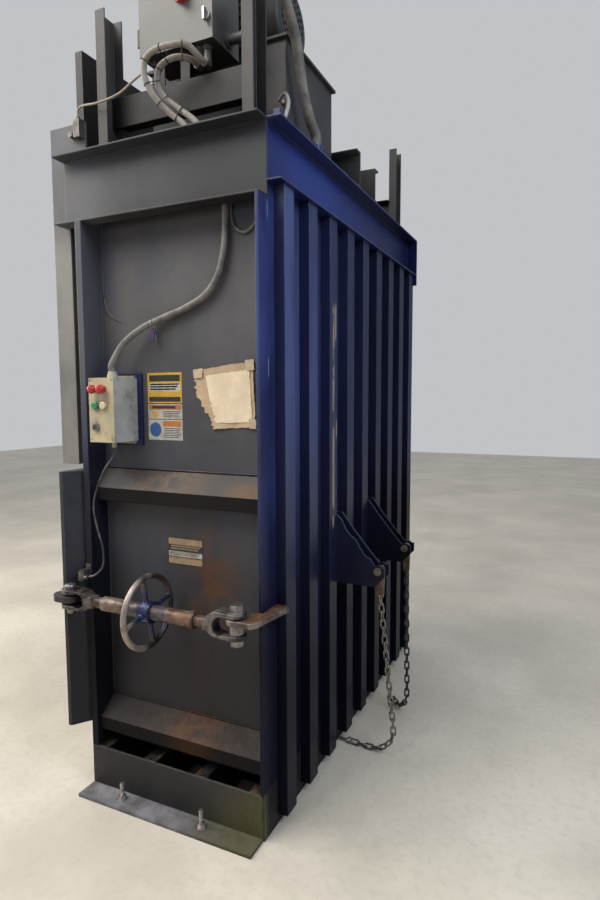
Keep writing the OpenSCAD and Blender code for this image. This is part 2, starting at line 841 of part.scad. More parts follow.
module enclosure_panel() {
    t = enclosure_t;
    y = enc_y1 - t;
    color(steel) {
        block([enc_x0 + 30, y - 12, enc_z + 40], [enc_x1 - 30, y - 9, enc_z + enclosure_h - 40]);
        for (x = [enc_x0 + 50, enc_x1 - 50], z = [enc_z + 60, enc_z + enclosure_h - 60])
            rod_y(x, z, y - 9, y, 6);
        for (i = [0 : 2])
            block([enc_x0 + 50 + i * 65, y - 80, enc_z + 260], [enc_x0 + 100 + i * 65, y - 12, enc_z + 350]);
        for (i = [0 : 11])
            block([enc_x0 + 56 + i * 16, y - 50, enc_z + 90], [enc_x0 + 70 + i * 16, y - 12, enc_z + 140]);
    }
}

module enclosure_door() {
    lip = 12;
    y1 = enc_y0 - seat_gap;
    y0 = y1 - enc_door_t;
    z1 = enc_z + enclosure_h;
    color(box_grey) difference() {
        union() {
            block([enc_x0, y0, enc_z], [enc_x1, y1, z1]);
            rod_z(enc_x0 - 6, y0 + 6, enc_z + 40, enc_z + 100, 6);
            rod_z(enc_x0 - 6, y0 + 6, z1 - 100, z1 - 40, 6);
        }
        block([enc_x0 + lip, y0 + 3, enc_z + lip], [enc_x1 - lip, y1 + 1, z1 - lip]);
        rod_y(handle_x, handle_z, y0 - 1, y0 + 5, 10 + pin_clear);
        rod_y(knob_x, knob_z, y0 - 1, y0 + 10, 6 + pin_clear);
    }
}

module disconnect_handle() {
    y = enc_y0 - seat_gap - enc_door_t - seat_gap;
    color("firebrick") {
        rod_y(handle_x, handle_z, y, y + 5, 10);
        rod_y(handle_x, handle_z, y - 14, y, 44);
        along_y(y - 42, y - 14) translate([handle_x, handle_z]) union() {
            square([20, 88], center = true);
            translate([0, 30]) circle(r = 16);
            translate([0, -30]) circle(r = 16);
        }
    }
}

module enclosure_knob() {
    y = enc_y0 - seat_gap - enc_door_t - seat_gap;
    color(steel) {
        rod_y(knob_x, knob_z, y, y + 8, 6);
        rod_y(knob_x, knob_z, y - 8, y, 14);
        block([knob_x - 4, y - 24, knob_z - 20], [knob_x + 4, y - 8, knob_z + 20]);
    }
}

// Control box and its buttons, placed from the left and top of the front face

button_r = 11;
mushroom_r = 17;
stop_z = box_z + box_h - 42;
push_z = box_z + box_h - 102;
key_z = box_z + box_h - 182;
button_x0 = box_x0 + 34;
button_dx = 40;
stem_l = 22;

module button_bore(x, z) {
    rod_y(x, z, box_y0 - 1, box_y0 + stem_l + button_travel + 1, button_r + button_gap);
}

module control_box() {
    hub_x = box_x0 + 66;
    hub_y = -yw - 84;
    color(box_grey) {
        difference() {
            union() {
                block([box_x0, box_y0, box_z], [box_x1, box_y1, box_z + box_h]);
                block([box_x0 + 20, box_y1 - 14, box_z + box_h], [box_x1 - 8, box_y1, box_z + box_h + 10]);
                block([box_x0 + 20, box_y1 - 14, box_z - 10], [box_x1 - 8, box_y1, box_z]);
            }
            for (x = [button_x0, button_x0 + button_dx]) {
                button_bore(x, stop_z);
                button_bore(x, push_z);
            }
            button_bore(button_x0, key_z);
            for (x = [box_x0 + 8, box_x1 - 8], z = [box_z + 10, box_z + box_h - 10])
                rod_y(x, z, box_y0 - 1, box_y0 + 2, 3.5);
        }
        rod_z(hub_x, hub_y, box_z + box_h, box_z + box_h + 14, 19);
        rod_z(hub_x, hub_y, box_z + box_h + 14, box_z + box_h + 24, 16);
        rod_z(hub_x, hub_y, box_z - 22, box_z, 9);
    }
}

module control_box_bracket() {
    t = 5;
    color(navy) difference() {
        along_z(box_z - 18, box_z + box_h + 20) polygon([
            [box_x0 - 14, -yw], [box_x0 - 14, -yw - 10], [box_x1 + 20, -yw - 10],
            [box_x1 + 20, -yw], [box_x1 + 20 - t, -yw], [box_x1 + 20 - t, -yw - 10 + t],
            [box_x0 - 14 + t, -yw - 10 + t], [box_x0 - 14 + t, -yw]
        ]);
        rod_y(box_x1 + 10, box_z + 10, -yw - 11, -yw, 4);
    }
}

// Mushroom head button turned about its own axis
module stop_button(x) {
    y = box_y0 - 14;
    color("firebrick") {
        rod_y(x, stop_z, y, box_y0 + stem_l, button_r);
        translate([x, y, stop_z]) rotate([90, 0, 0]) rotate_extrude()
            polygon([
                [0, 0], [mushroom_r - 3, 0], [mushroom_r, 4], [mushroom_r, 11],
                [mushroom_r - 3, 16], [mushroom_r - 8, 18], [0, 19]
            ]);
    }
}

module stop_button_left() {
    stop_button(button_x0);
}

module stop_button_right() {
    stop_button(button_x0 + button_dx);
}

module push_button(x, shade) {
    color(shade) {
        rod_y(x, push_z, box_y0 - 8, box_y0 + stem_l, button_r);
        translate([x, box_y0 - 8, push_z]) rotate([90, 0, 0]) rotate_extrude()
            polygon([[0, 0], [button_r + 3, 0], [button_r + 3, 3], [button_r, 5], [0, 5]]);
    }
}

module start_button() {
    push_button(button_x0, "seagreen");
}

module reverse_button() {
    push_button(button_x0 + button_dx, "wheat");
}

module key_selector() {
    y = box_y0 - seat_gap;
    color(steel) difference() {
        union() {
            rod_y(button_x0, key_z, y, box_y0 + stem_l, button_r);
            rod_y(button_x0, key_z, y - 9, y, button_r + 4);
            block([button_x0 - 1.5, y - 20, key_z - 9], [button_x0 + 1.5, y - 9, key_z + 9]);
        }
        rod_y(button_x0, key_z, y - 21, y - 18, 0.5);
    }
}

// Chains

// Link outline on Z: two bars joined by half rings
module chain_link() {
    r = (link_w - link_wire) / 2;
    s = link_inner + 2 * link_wire - link_w;
    for (x = [-r, r]) rod_z(x, 0, -s / 2, s / 2, link_wire / 2);
    for (m = [0, 1]) mirror([0, 0, m]) translate([0, 0, s / 2]) rotate([90, 0, 0])
        rotate_extrude(angle = 180) translate([r, 0]) circle(d = link_wire, $fn = 24);
}

// Position along a route of points, and the next position one whole link further on
function leg(route, i) = norm(route[i + 1] - route[i]);
function on_route(route, s, i = 0) =
    i >= len(route) - 2 || s <= leg(route, i) ? route[i] + s * unit(route[i + 1] - route[i])
    : on_route(route, s - leg(route, i), i + 1);
function shortfall(route, a, s) = link_step - norm(on_route(route, s) - a);
function next_knot(route, s) =
    let (a = on_route(route, s), s1 = s + link_step, s2 = s1 + shortfall(route, a, s1))
        s2 + shortfall(route, a, s2);
function knots_up(route, count, s = 0) =
    count == 0 ? [on_route(route, s)]
    : concat(knots_up(route, count - 1, next_knot(route, s)), [on_route(route, s)]);

// Turns its children from Z towards d, with their X axis along s
module aim(d, s) {
    t = cross(d, s);
    rotate([atan2(t.z, d.z), asin(-s.z), atan2(s.y, s.x)]) children();
}

// Links strung along a route: each turned a quarter from its neighbour, leaning over on the floor
module chain(route, count, twist) {
    knots = knots_up(route, count);
    for (i = [0 : count - 1]) {
        d = unit(knots[i + 1] - knots[i]);
        carried = carried_side(knots, i);
        s = unit(carried - d * (carried * d));
        mid = (knots[i] + knots[i + 1]) / 2;
        lean = 45 + (twist - 45) * min(1, (mid.z - link_lie) / 220);
        translate(mid) aim(d, s)
            rotate(90 * ((count - 1 - i) % 2) + lean) chain_link();
    }
    d = unit(knots[0] - knots[1]);
    translate(knots[0] + d * 11) rotate(atan2(d.y, d.x)) rotate([-45, 0, 0]) {
        rotate_extrude() translate([12, 0]) circle(d = link_wire, $fn = 24);
        rod_x(0, 0, 13, 48, 5.5);
    }
}

// Tapered plate pair with a cross pin between them
module bracket_plate(y0, torn) {
    bottom = bracket_z - 68;
    steps = 8;
    top = [
        for (i = [0 : steps])
            let (k = i / steps)
                [
                    xr + rib_d + k * (bracket_reach - rib_d - 40),
                    bracket_z + 207 * (1 - k) * (1 - 0.12 * k) + torn * 9 * sin(k * 900) + 16
                ]
    ];
    along_y(y0, y0 + bracket_t) difference() {
        union() {
            polygon(concat(
                [[xr, bottom], [xr, bracket_z + 223]],
                top,
                [[xr + bracket_reach, bracket_z + 14], [xr + bracket_reach, bracket_z - 24],
                    [xr + bracket_reach - 40, bottom]]
            ));
            translate([chain_pin_x, bracket_z]) circle(r = 22);
        }
        translate([chain_pin_x, bracket_z]) circle(r = 10 + pin_clear);
    }
}

module chain_brackets() {
    color(navy) for (i = [0, 1]) {
        y = chain_ys[i] - bracket_gap / 2;
        bracket_plate(y - bracket_t, i == 0 ? 1 : 0);
        bracket_plate(y + bracket_gap, 0);
    }
}

module chain_hangers() {
    half = bracket_gap / 2 + bracket_t;
    color(rusty) for (y = chain_ys) {
        rod_y(chain_pin_x, bracket_z, y - half - 6, y + half + 6, 10);
        rod_y(chain_pin_x, bracket_z, y - half - 12, y - half - 1, 16);
        rod_y(chain_pin_x, bracket_z, y + half + 1, y + half + 12, 16);
        along_y(y - 4.5, y + 4.5) difference() {
            union() {
                polygon([
                    [chain_pin_x - 18, bracket_z], [chain_pin_x + 18, bracket_z],
                    [chain_pin_x + 15, bracket_z - hanger_len], [chain_pin_x - 15, bracket_z - hanger_len]
                ]);
                translate([chain_pin_x, bracket_z]) circle(r = 18);
                translate([chain_pin_x, bracket_z - hanger_len]) circle(r = 2 * eye_r);
            }
            translate([chain_pin_x, bracket_z - hanger_len]) circle(r = eye_r);
        }
    }
}

module near_chain() {
    color(steel) chain(near_chain_route, near_links, 5.7);
}

module far_chain() {
    color(steel) chain(far_chain_route, far_links, 46.8);
}

// Latch

module latch_anchor_arm() {
    z = latch_z + ear_z - lug_t + 1;
    x = right_pin_x;
    color(rusty) along_z(z, z + lug_t - 4) difference() {
        union() {
            translate([x, latch_y]) circle(r = ear_r + 3);
            polygon([
                [x, latch_y - ear_r - 3], [xr + 16, latch_y - ear_r + 2],
                [xr + 30, latch_y - 8], [xr + 36, latch_y + 40], [xr + 59, -yi - 11],
                [xr + rib_d, -yi], [xr, -yi], [xr, -yo], [xr - rear_corner_t, -yo],
                [x, latch_y + ear_r + 3]
            ]);
        }
        translate([x, latch_y]) circle(r = latch_pin_r + 0.02);
    }
}

module latch_bolt() {
    x = right_pin_x;
    top = latch_z + ear_z + ear_t;
    low = latch_z - ear_z - ear_t;
    arm_z = latch_z + ear_z - lug_t + 1;
    color(steel) {
        rod_z(x, latch_y, low - 26, top + 6, latch_pin_r);
        rod_z(x, latch_y, top + seat_gap, top + 5, ear_r - 4);
        hex(x, latch_y, top + 5, top + 27, 42);
        hex(x, latch_y, low - 22, low - seat_gap, 42);
        difference() {
            rod_z(x, latch_y, latch_z - ear_z + seat_gap, arm_z, latch_pin_r + 12);
            rod_z(x, latch_y, latch_z - ear_z, arm_z + 1, latch_pin_r);
        }
    }
}

// Forged fork: side outline in X and Z, trimmed by its plan outline
module jaw_side() {
    h = ear_z + ear_t;
    throat = ear_gap / 2;
    difference() {
        union() {
            translate([-ear_r - 1, -h]) square([ear_r + 61, 2 * h]);
            translate([60, 0]) circle(r = h);
            translate([60, -screw_r - 3]) square([jaw_len - 60, 2 * screw_r + 6]);
        }
        translate([-ear_r - 2, -throat]) square([ear_r + 48, ear_gap]);
        translate([46, 0]) circle(r = throat);
    }
}

module jaw_plan() {
    circle(r = ear_r);
    polygon([
        [0, ear_r], [70, 29], [106, screw_r + 3], [jaw_len, screw_r + 3],
        [jaw_len, -screw_r - 3], [106, -screw_r - 3], [70, -29], [0, -ear_r]
    ]);
}

// Jaw with its pin at the origin and its neck along +X
module jaw() {
    difference() {
        intersection() {
            along_y(-ear_r - 2, ear_r + 2) jaw_side();
            along_z(-ear_z - ear_t, ear_z + ear_t) jaw_plan();
        }
        rod_z(0, 0, -ear_z - ear_t - 1, ear_z + ear_t + 1, latch_pin_r + pin_clear);
    }
}

module latch_left_jaw() {
    color(rusty) translate([left_pin_x, latch_y, latch_z]) union() {
        jaw();
        rod_x(0, 0, jaw_len - 1, sleeve_x0 - left_pin_x + 130, screw_r);
    }
}

module latch_right_jaw() {
    color(rusty) translate([right_pin_x, latch_y, latch_z]) mirror([1, 0, 0]) union() {
        jaw();
        rod_x(0, 0, jaw_len - 1, right_pin_x - sleeve_x1 + 70, screw_r);
    }
}

module latch_sleeve() {
    collar = 4;
    color(rusty) difference() {
        union() {
            rod_x(latch_y, latch_z, sleeve_x0, sleeve_x1, sleeve_r);
            rod_x(latch_y, latch_z, sleeve_x1 - 16, sleeve_x1 - 2, sleeve_r + collar);
        }
        rod_x(latch_y, latch_z, sleeve_x0 - 1, sleeve_x1 + 1, screw_r + pin_clear);
    }
}

module latch_handwheel() {
    rim_r = wheel_r - rim_bar_r;
    hub_r = sleeve_r + 13;
    color(rusty) translate([wheel_x, latch_y, latch_z]) rotate([0, 90, 0]) difference() {
        union() {
            rotate_extrude($fn = 96) translate([rim_r, 0]) circle(r = rim_bar_r, $fn = 24);
            translate([0, 0, -26]) cylinder(h = 52, r = hub_r);
            for (i = [0 : spoke_count - 1]) rotate(i * 360 / spoke_count + 12)
                rotate([0, 90, 0]) translate([0, 0, hub_r - 6])
                    cylinder(h = rim_r - hub_r + 6, r = 9, $fn = 24);
        }
        translate([0, 0, -27]) cylinder(h = 54, r = sleeve_r);
    }
}

module latch_pin() {
    top = latch_z + ear_z + ear_t;
    color(steel) {
        rod_z(left_pin_x, latch_y, latch_z - ear_z - ear_t - 22, top + 2, latch_pin_r);
        translate([left_pin_x, latch_y, top + seat_gap]) rotate_extrude()
            polygon([[0, 0], [22, 0], [22, 10], [18, 16], [10, 19], [0, 19]]);
    }
}

// Door

module door_panel() {
    bay = (door_top - door_bottom - door_rib_w - 60) / (door_rib_count - 1);
    stile_y = door_stile_back();
    color(navy) {
        block([plate_x, door_y0, door_bottom], [door_x1, door_y1, door_top]);
        for (i = [0 : door_rib_count - 1])
            along_y(stile_y, ys - 50)
                translate([door_x0 + 8, door_bottom + 30 + i * bay]) rotate(90) mirror([0, 1])
                    channel_section(door_rib_w, door_d - door_plate_t - 8, rib_t);
    }
}

function door_stile_back() = -(ys - 50);

// Latch edge of the door in plan: slanted web, outer face and inner return
module stile_outline() {
    t = 8;
    x = plate_x;
    dx = door_x1 - (door_x0 + 15);
    dy = door_y0 - tip_y;
    n = norm([dx, dy]);
    back = door_stile_back();
    polygon([
        [door_x1, door_y0], [door_x0 + 15, tip_y], [door_x0, tip_y], [door_x0, back], [x, back],
        [x, back - t], [door_x0 + t, back - t], [door_x0 + t, tip_y + t],
        [door_x1 - dx / dy * (dy - t) - t * n / dy, tip_y + t],
        [x, door_y0 - (door_x1 - x - t * n / dy) * dy / dx], [x, door_y0]
    ]);
}

module lug_outline() {
    r = ear_r + 3;
    difference() {
        union() {
            translate([left_pin_x, latch_y]) circle(r = r);
            translate([left_pin_x - screw_travel - 20, latch_y]) circle(r = r);
            translate([left_pin_x - screw_travel - 20, latch_y - r]) square([screw_travel + 20, 2 * r]);
            translate([door_x0, latch_y]) square([left_pin_x - door_x0, 60]);
        }
        polygon([
            [door_x0 - 200, tip_y], [door_x0 + 15, tip_y], [door_x1, door_y0],
            [door_x1 + 60, door_y0], [door_x1 + 60, 0], [door_x0 - 200, 0]
        ]);
        translate([left_pin_x + 1, -yo - 20]) square([60, 60]);
        for (dx = [0, screw_travel])
            translate([left_pin_x - dx, latch_y]) circle(r = latch_pin_r + 1.5);
        translate([left_pin_x - screw_travel, latch_y - latch_pin_r - 1.5])
            square([screw_travel, 2 * latch_pin_r + 3]);
    }
}

module door_stile() {
    t = 8;
    x0 = door_x0;
    color(navy) {
        union() {
            along_z(door_bottom, door_top) stile_outline();
            along_z(door_top - t, door_top) polygon([
                [plate_x, door_y0], [door_x1, door_y0], [door_x0 + 15, tip_y], [door_x0, tip_y],
                [door_x0, door_stile_back()], [plate_x, door_stile_back()]
            ]);
            along_z(latch_z - lug_t / 2, latch_z + lug_t / 2) lug_outline();
        }
        along_z(door_bottom, door_top) translate([x0, ys - 50]) polygon([
            [0, 0], [plate_x - x0, 0], [plate_x - x0, t], [t, t], [t, 64 - t],
            [plate_x - x0, 64 - t], [plate_x - x0, 64], [0, 64]
        ]);
    }
}

hinge_zs = [door_bottom + 140, (door_bottom + door_top) / 2, door_top - 140];

module door_hinges() {
    color(navy) for (z = hinge_zs) difference() {
        union() {
            rod_z(hinge_x, hinge_y, z - knuckle_h / 2, z + knuckle_h / 2, knuckle_r);
            block(
                [door_x0 - 8, hinge_y - 200, z - knuckle_h / 2],
                [door_x0, hinge_y - knuckle_r / 2, z + knuckle_h / 2]
            );
        }
        rod_z(hinge_x, hinge_y, z - knuckle_h, z + knuckle_h, hinge_pin_r + pin_clear);
    }
}

module frame_hinges() {
    h = 40;
    color(navy) for (z = hinge_zs) {
        low = z - knuckle_h / 2 - seat_gap;
        high = z + knuckle_h / 2 + seat_gap;
        union() {
            for (z0 = [low - h, high]) {
                rod_z(hinge_x, hinge_y, z0, z0 + h, knuckle_r);
                block([hinge_x + 8, hinge_y + 5, z0], [xf, yo - 1, z0 + h]);
            }
            rod_z(hinge_x, hinge_y, low - h - 8, high + h + 6, hinge_pin_r);
            rod_z(hinge_x, hinge_y, high + h, high + h + 10, hinge_pin_r + 5);
        }
    }
}

// Small hardware

module anchor_bolts() {
    color(steel) for (x = anchor_xs, side = [-1, 1]) {
        y = side * abs(anchor_y);
        rod_z(x, y, 1, 78, 8);
        rod_z(x, y, foot_t, foot_t + 3, 18);
        hex(x, y, foot_t + 3, foot_t + 18, 26);
    }
}

module limit_switches() {
    sx = xf + 2;
    sy = -(yo + 29);
    sz = latch_z + ear_z + ear_t + 5;
    gx = guide_x1 + 74;
    gy = -guide_y;
    color(steel) {
        union() {
            rod_z(sx, sy, sz, sz + 34, 14);
            block([sx - 12, sy, sz + 34], [sx + 12, -yo, sz + 39]);
            block([sx - 2, -yo - 5, sz + 5], [sx + 22, -yo, sz + 60]);
            rod_x(sy, sz + 12, sx, sx + 26, 8);
        }
        union() {
            block([gx - 16, gy - 28, guide_top - 62], [gx + 14, gy, guide_top + 4]);
            rod_z(gx - 1, gy - 16, guide_top + 4, guide_top + 14, 8);
            rod_x(gy - 14, guide_top - 48, gx - 36, gx - 16, 5);
            rod_y(gx - 36, guide_top - 48, gy - 26, gy - 4, 10);
        }
    }
}

// Cords

module control_conduit() {
    color("tan") swept_tube(control_route, conduit_r, 10);
}

module latch_switch_cable() {
    color("dimgray") swept_tube(latch_cable_route, latch_cable_r);
}

module enclosure_conduit_outer() {
    color("tan") swept_tube(outer_loop_route, loop_r, 10);
}

module enclosure_conduit_inner() {
    color("tan") swept_tube(inner_loop_route, loop_r, 10);
}

module gate_switch_cable() {
    color("wheat") swept_tube(gate_cable_route, gate_cable_r);
}

module motor_conduit() {
    color("tan") swept_tube(motor_conduit_route, motor_conduit_r, 10);
}

module header_cable() {
    color("lightgray") swept_tube(header_cable_route, header_cable_r);
}

module wall_cable_loop() {
    color("dimgray") swept_tube(wall_loop_route, wall_loop_r);
}

module wall_wire() {
    color("gray") swept_tube(wall_wire_route, wall_wire_r);
}

base_sills();
floor_runners();
floor_plate();
side_walls();
rear_wall();
rear_ribs();
corner_posts();
wall_stiffeners();
side_headers();
end_headers();
gate_guides();
upper_columns();
top_crossbeams();
cylinder_beams();
cylinder_barrel();
hydraulic_tank();
pump_motor();
fan_cowl();
electrical_enclosure();
enclosure_panel();
control_box();
control_box_bracket();
chain_brackets();
chain_hangers();
near_chain();
far_chain();
latch_anchor_arm();
latch_bolt();
anchor_bolts();
limit_switches();
frame_hinges();
feed_gate();
door_panel();
door_stile();
door_hinges();
latch_left_jaw();
latch_sleeve();
latch_handwheel();
latch_right_jaw();
latch_pin();
platen_plate();
platen_beams();
piston_rod();
enclosure_door();
disconnect_handle();
enclosure_knob();
stop_button_left();
stop_button_right();
start_button();
reverse_button();
key_selector();
control_conduit();
latch_switch_cable();
enclosure_conduit_outer();
enclosure_conduit_inner();
gate_switch_cable();
motor_conduit();
header_cable();
wall_cable_loop();
wall_wire();
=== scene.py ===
import math
import random

import bpy
from mathutils import Matrix, Vector


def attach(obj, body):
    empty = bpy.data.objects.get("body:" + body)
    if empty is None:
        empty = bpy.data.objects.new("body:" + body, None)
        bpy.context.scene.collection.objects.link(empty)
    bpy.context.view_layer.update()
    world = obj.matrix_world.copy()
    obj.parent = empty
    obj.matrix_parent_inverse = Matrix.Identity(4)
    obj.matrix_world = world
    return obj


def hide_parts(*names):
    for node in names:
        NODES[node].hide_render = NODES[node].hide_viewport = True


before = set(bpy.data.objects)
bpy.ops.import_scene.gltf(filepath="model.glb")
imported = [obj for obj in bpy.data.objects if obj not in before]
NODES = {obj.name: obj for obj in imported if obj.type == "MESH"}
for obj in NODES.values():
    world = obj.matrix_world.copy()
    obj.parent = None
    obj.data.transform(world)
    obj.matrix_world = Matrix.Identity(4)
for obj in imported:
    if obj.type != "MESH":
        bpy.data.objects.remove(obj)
scene = bpy.context.scene
rng = random.Random(11)


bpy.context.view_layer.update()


def place(name, data):
    obj = bpy.data.objects.new(name, data)
    scene.collection.objects.link(obj)
    return obj


# Camera, matched to the photograph


def add_camera():
    yaw, pitch, roll = -0.4362, 0.0891, -0.0036
    forward = Vector((math.sin(yaw) * math.cos(pitch), math.cos(yaw) * math.cos(pitch), -math.sin(pitch)))
    right = Vector((math.cos(yaw), -math.sin(yaw), 0))
    up = right.cross(forward)
    right2 = right * math.cos(roll) + up * math.sin(roll)
    up2 = up * math.cos(roll) - right * math.sin(roll)
    matrix = Matrix((right2, up2, -forward)).transposed().to_4x4()
    matrix.translation = (1.35, -2.689, 1.57)
    data = bpy.data.cameras.new("camera")
    data.sensor_fit = "VERTICAL"
    data.sensor_height = 36.0
    data.lens = 23.99
    data.clip_end = 60
    camera = place("camera", data)
    camera.matrix_world = matrix
    scene.camera = camera


add_camera()


# Node material helper: every mask is in the part's own coordinates, in metres


class Mat:
    def __init__(self, name):
        self.mat = bpy.data.materials.new(name)
        self.mat.use_nodes = True
        self.tree = self.mat.node_tree
        self.tree.nodes.clear()
        out = self.node("ShaderNodeOutputMaterial")
        self.bsdf = self.node("ShaderNodeBsdfPrincipled")
        self.link(self.bsdf.outputs[0], out.inputs[0])
        self.coord = self.node("ShaderNodeTexCoord").outputs["Object"]
        self.geometry = self.node("ShaderNodeNewGeometry")
        self.split = self.edge_socket = self.bevel_normal = None
        # What the wear and painted-light functions read and change: shade is a mask that lowers the gloss where a
        # part lies in shade, and some of them also paint shade there
        self.colour = self.rough = self.fine = self.shade = None

    def node(self, kind, op=None, **inputs):
        """A node; an input's name has _ for each space."""
        n = self.tree.nodes.new(kind)
        if op:
            n.operation = op
        for name, value in inputs.items():
            self.put(n.inputs[name.replace("_", " ")], value)
        return n

    def link(self, a, b):
        self.tree.links.new(a, b)

    def put(self, socket, value):
        if isinstance(value, bpy.types.NodeSocket):
            self.link(value, socket)
        elif hasattr(value, "__len__"):
            value = tuple(value)
            socket.default_value = value if len(socket.default_value) == len(value) else value + (1.0,)
        else:
            socket.default_value = value

    def math(self, op, a, b=0.0, clamp=False):
        n = self.node("ShaderNodeMath", op)
        n.use_clamp = clamp
        self.put(n.inputs[0], a)
        self.put(n.inputs[1], b)
        return n.outputs[0]

    def mul(self, *parts):
        out = parts[0]
        for p in parts[1:]:
            out = self.math("MULTIPLY", out, p)
        return out

    def add(self, *parts):
        out = parts[0]
        for p in parts[1:]:
            out = self.math("ADD", out, p, clamp=True)
        return out

    def flip(self, a):
        return self.math("SUBTRACT", 1.0, a, clamp=True)

    def ramp(self, fac, lo, hi):
        n = self.node("ShaderNodeMapRange", Value=fac, From_Min=lo, From_Max=hi)
        n.interpolation_type = "SMOOTHSTEP"
        return n.outputs[0]

    def between(self, fac, a, b, soft):
        return self.mul(self.ramp(fac, a - soft, a + soft), self.ramp(fac, b + soft, b - soft))

    def noise(self, scale, detail=4.0, rough=0.55, wide=1, tall=1, shift=(0, 0, 0), warp=0.0):
        laid = self.node("ShaderNodeMapping", Vector=self.coord, Scale=(wide, wide, tall), Location=shift)
        n = self.node("ShaderNodeTexNoise", Vector=laid.outputs[0], Scale=scale, Detail=detail,
                      Roughness=rough, Distortion=warp)
        return n.outputs["Fac"]

    def blots(self, lo, hi, *args, **more):
        """Noise that rises from 0 at lo to 1 at hi."""
        return self.ramp(self.noise(*args, **more), lo, hi)

    def wave(self, scale):
        n = self.node("ShaderNodeTexWave", Vector=self.coord, Scale=scale, Distortion=0.0)
        n.bands_direction = "Z"
        return n.outputs["Fac"]

    def axis(self, i):
        if self.split is None:
            self.split = self.node("ShaderNodeSeparateXYZ")
            self.put(self.split.inputs[0], self.coord)
        return self.split.outputs[i]

    def up(self):
        n = self.node("ShaderNodeSeparateXYZ")
        self.put(n.inputs[0], self.geometry.outputs["Normal"])
        return n.outputs[2]

    def vector(self, op, a, b=None, out="Value"):
        n = self.node("ShaderNodeVectorMath", op)
        self.put(n.inputs[0], a)
        if b is not None:
            self.put(n.inputs[1], b)
        return n.outputs[out]

    def facing(self, direction):
        return self.vector("DOT_PRODUCT", self.geometry.outputs["Normal"], direction)

    def spot(self, centre, radii, soft=0.5, warp=0.0, scale=8.0):
        d = self.vector("SUBTRACT", self.coord, centre, "Vector")
        d = self.vector("LENGTH", self.vector("DIVIDE", d, radii, "Vector"))
        if warp:
            d = self.math("ADD", d, self.mul(self.math("SUBTRACT", self.noise(scale), 0.5), warp))
        return self.ramp(d, 1.0 + soft * 0.5, 1.0 - soft)

    def edge(self, radius=0.004):
        if self.edge_socket is None:
            b = self.node("ShaderNodeBevel", Radius=radius)
            b.samples = 4
            self.bevel_normal = b.outputs[0]
            turned = self.vector("DOT_PRODUCT", b.outputs[0], self.geometry.outputs["Normal"])
            self.edge_socket = self.ramp(turned, 0.995, 0.8)
        return self.edge_socket

    def worn_edge(self, lo, hi, *args, **more):
        return self.mul(self.edge(), self.blots(lo, hi, *args, **more))

    def mix(self, fac, a, b):
        n = self.node("ShaderNodeMix")
        n.data_type = "RGBA"
        n.clamp_factor = True
        self.put(n.inputs["Factor"], fac)
        self.put(n.inputs[6], a)
        self.put(n.inputs[7], b)
        return n.outputs[2]

    def bump(self, height, strength=0.3, distance=0.002, under=None):
        n = self.node("ShaderNodeBump", Strength=strength, Distance=distance, Height=height)
        if under is not None:
            self.put(n.inputs["Normal"], under)
        return n.outputs[0]

    def stain(self, mask, tone, amount=None):
        """Lays tone over the colour where mask is up."""
        fac = mask if amount is None else self.mul(mask, amount)
        self.colour = self.mix(fac, self.colour, tone)

    def roughen(self, amount):
        self.rough = self.math("ADD", self.rough, amount, clamp=True)

    def finish(self, rough, metallic=0.0, normal=None, specular=0.5):
        self.put(self.bsdf.inputs["Base Color"], self.colour)
        self.put(self.bsdf.inputs["Roughness"], rough)
        self.put(self.bsdf.inputs["Metallic"], metallic)
        self.put(self.bsdf.inputs["Specular IOR Level"], specular)
        if normal is not None:
            self.put(self.bsdf.inputs["Normal"], normal)
        return self.mat


RUST = (0.105, 0.04, 0.014)
RUST_DARK = (0.035, 0.018, 0.01)
DUST = (0.2, 0.185, 0.165)
STEEL = (0.33, 0.31, 0.29)
NAVY = (0.013, 0.0155, 0.05)


def scaled_tone(tone, factor, plus=0.0):
    return tuple(v * factor + plus for v in tone)


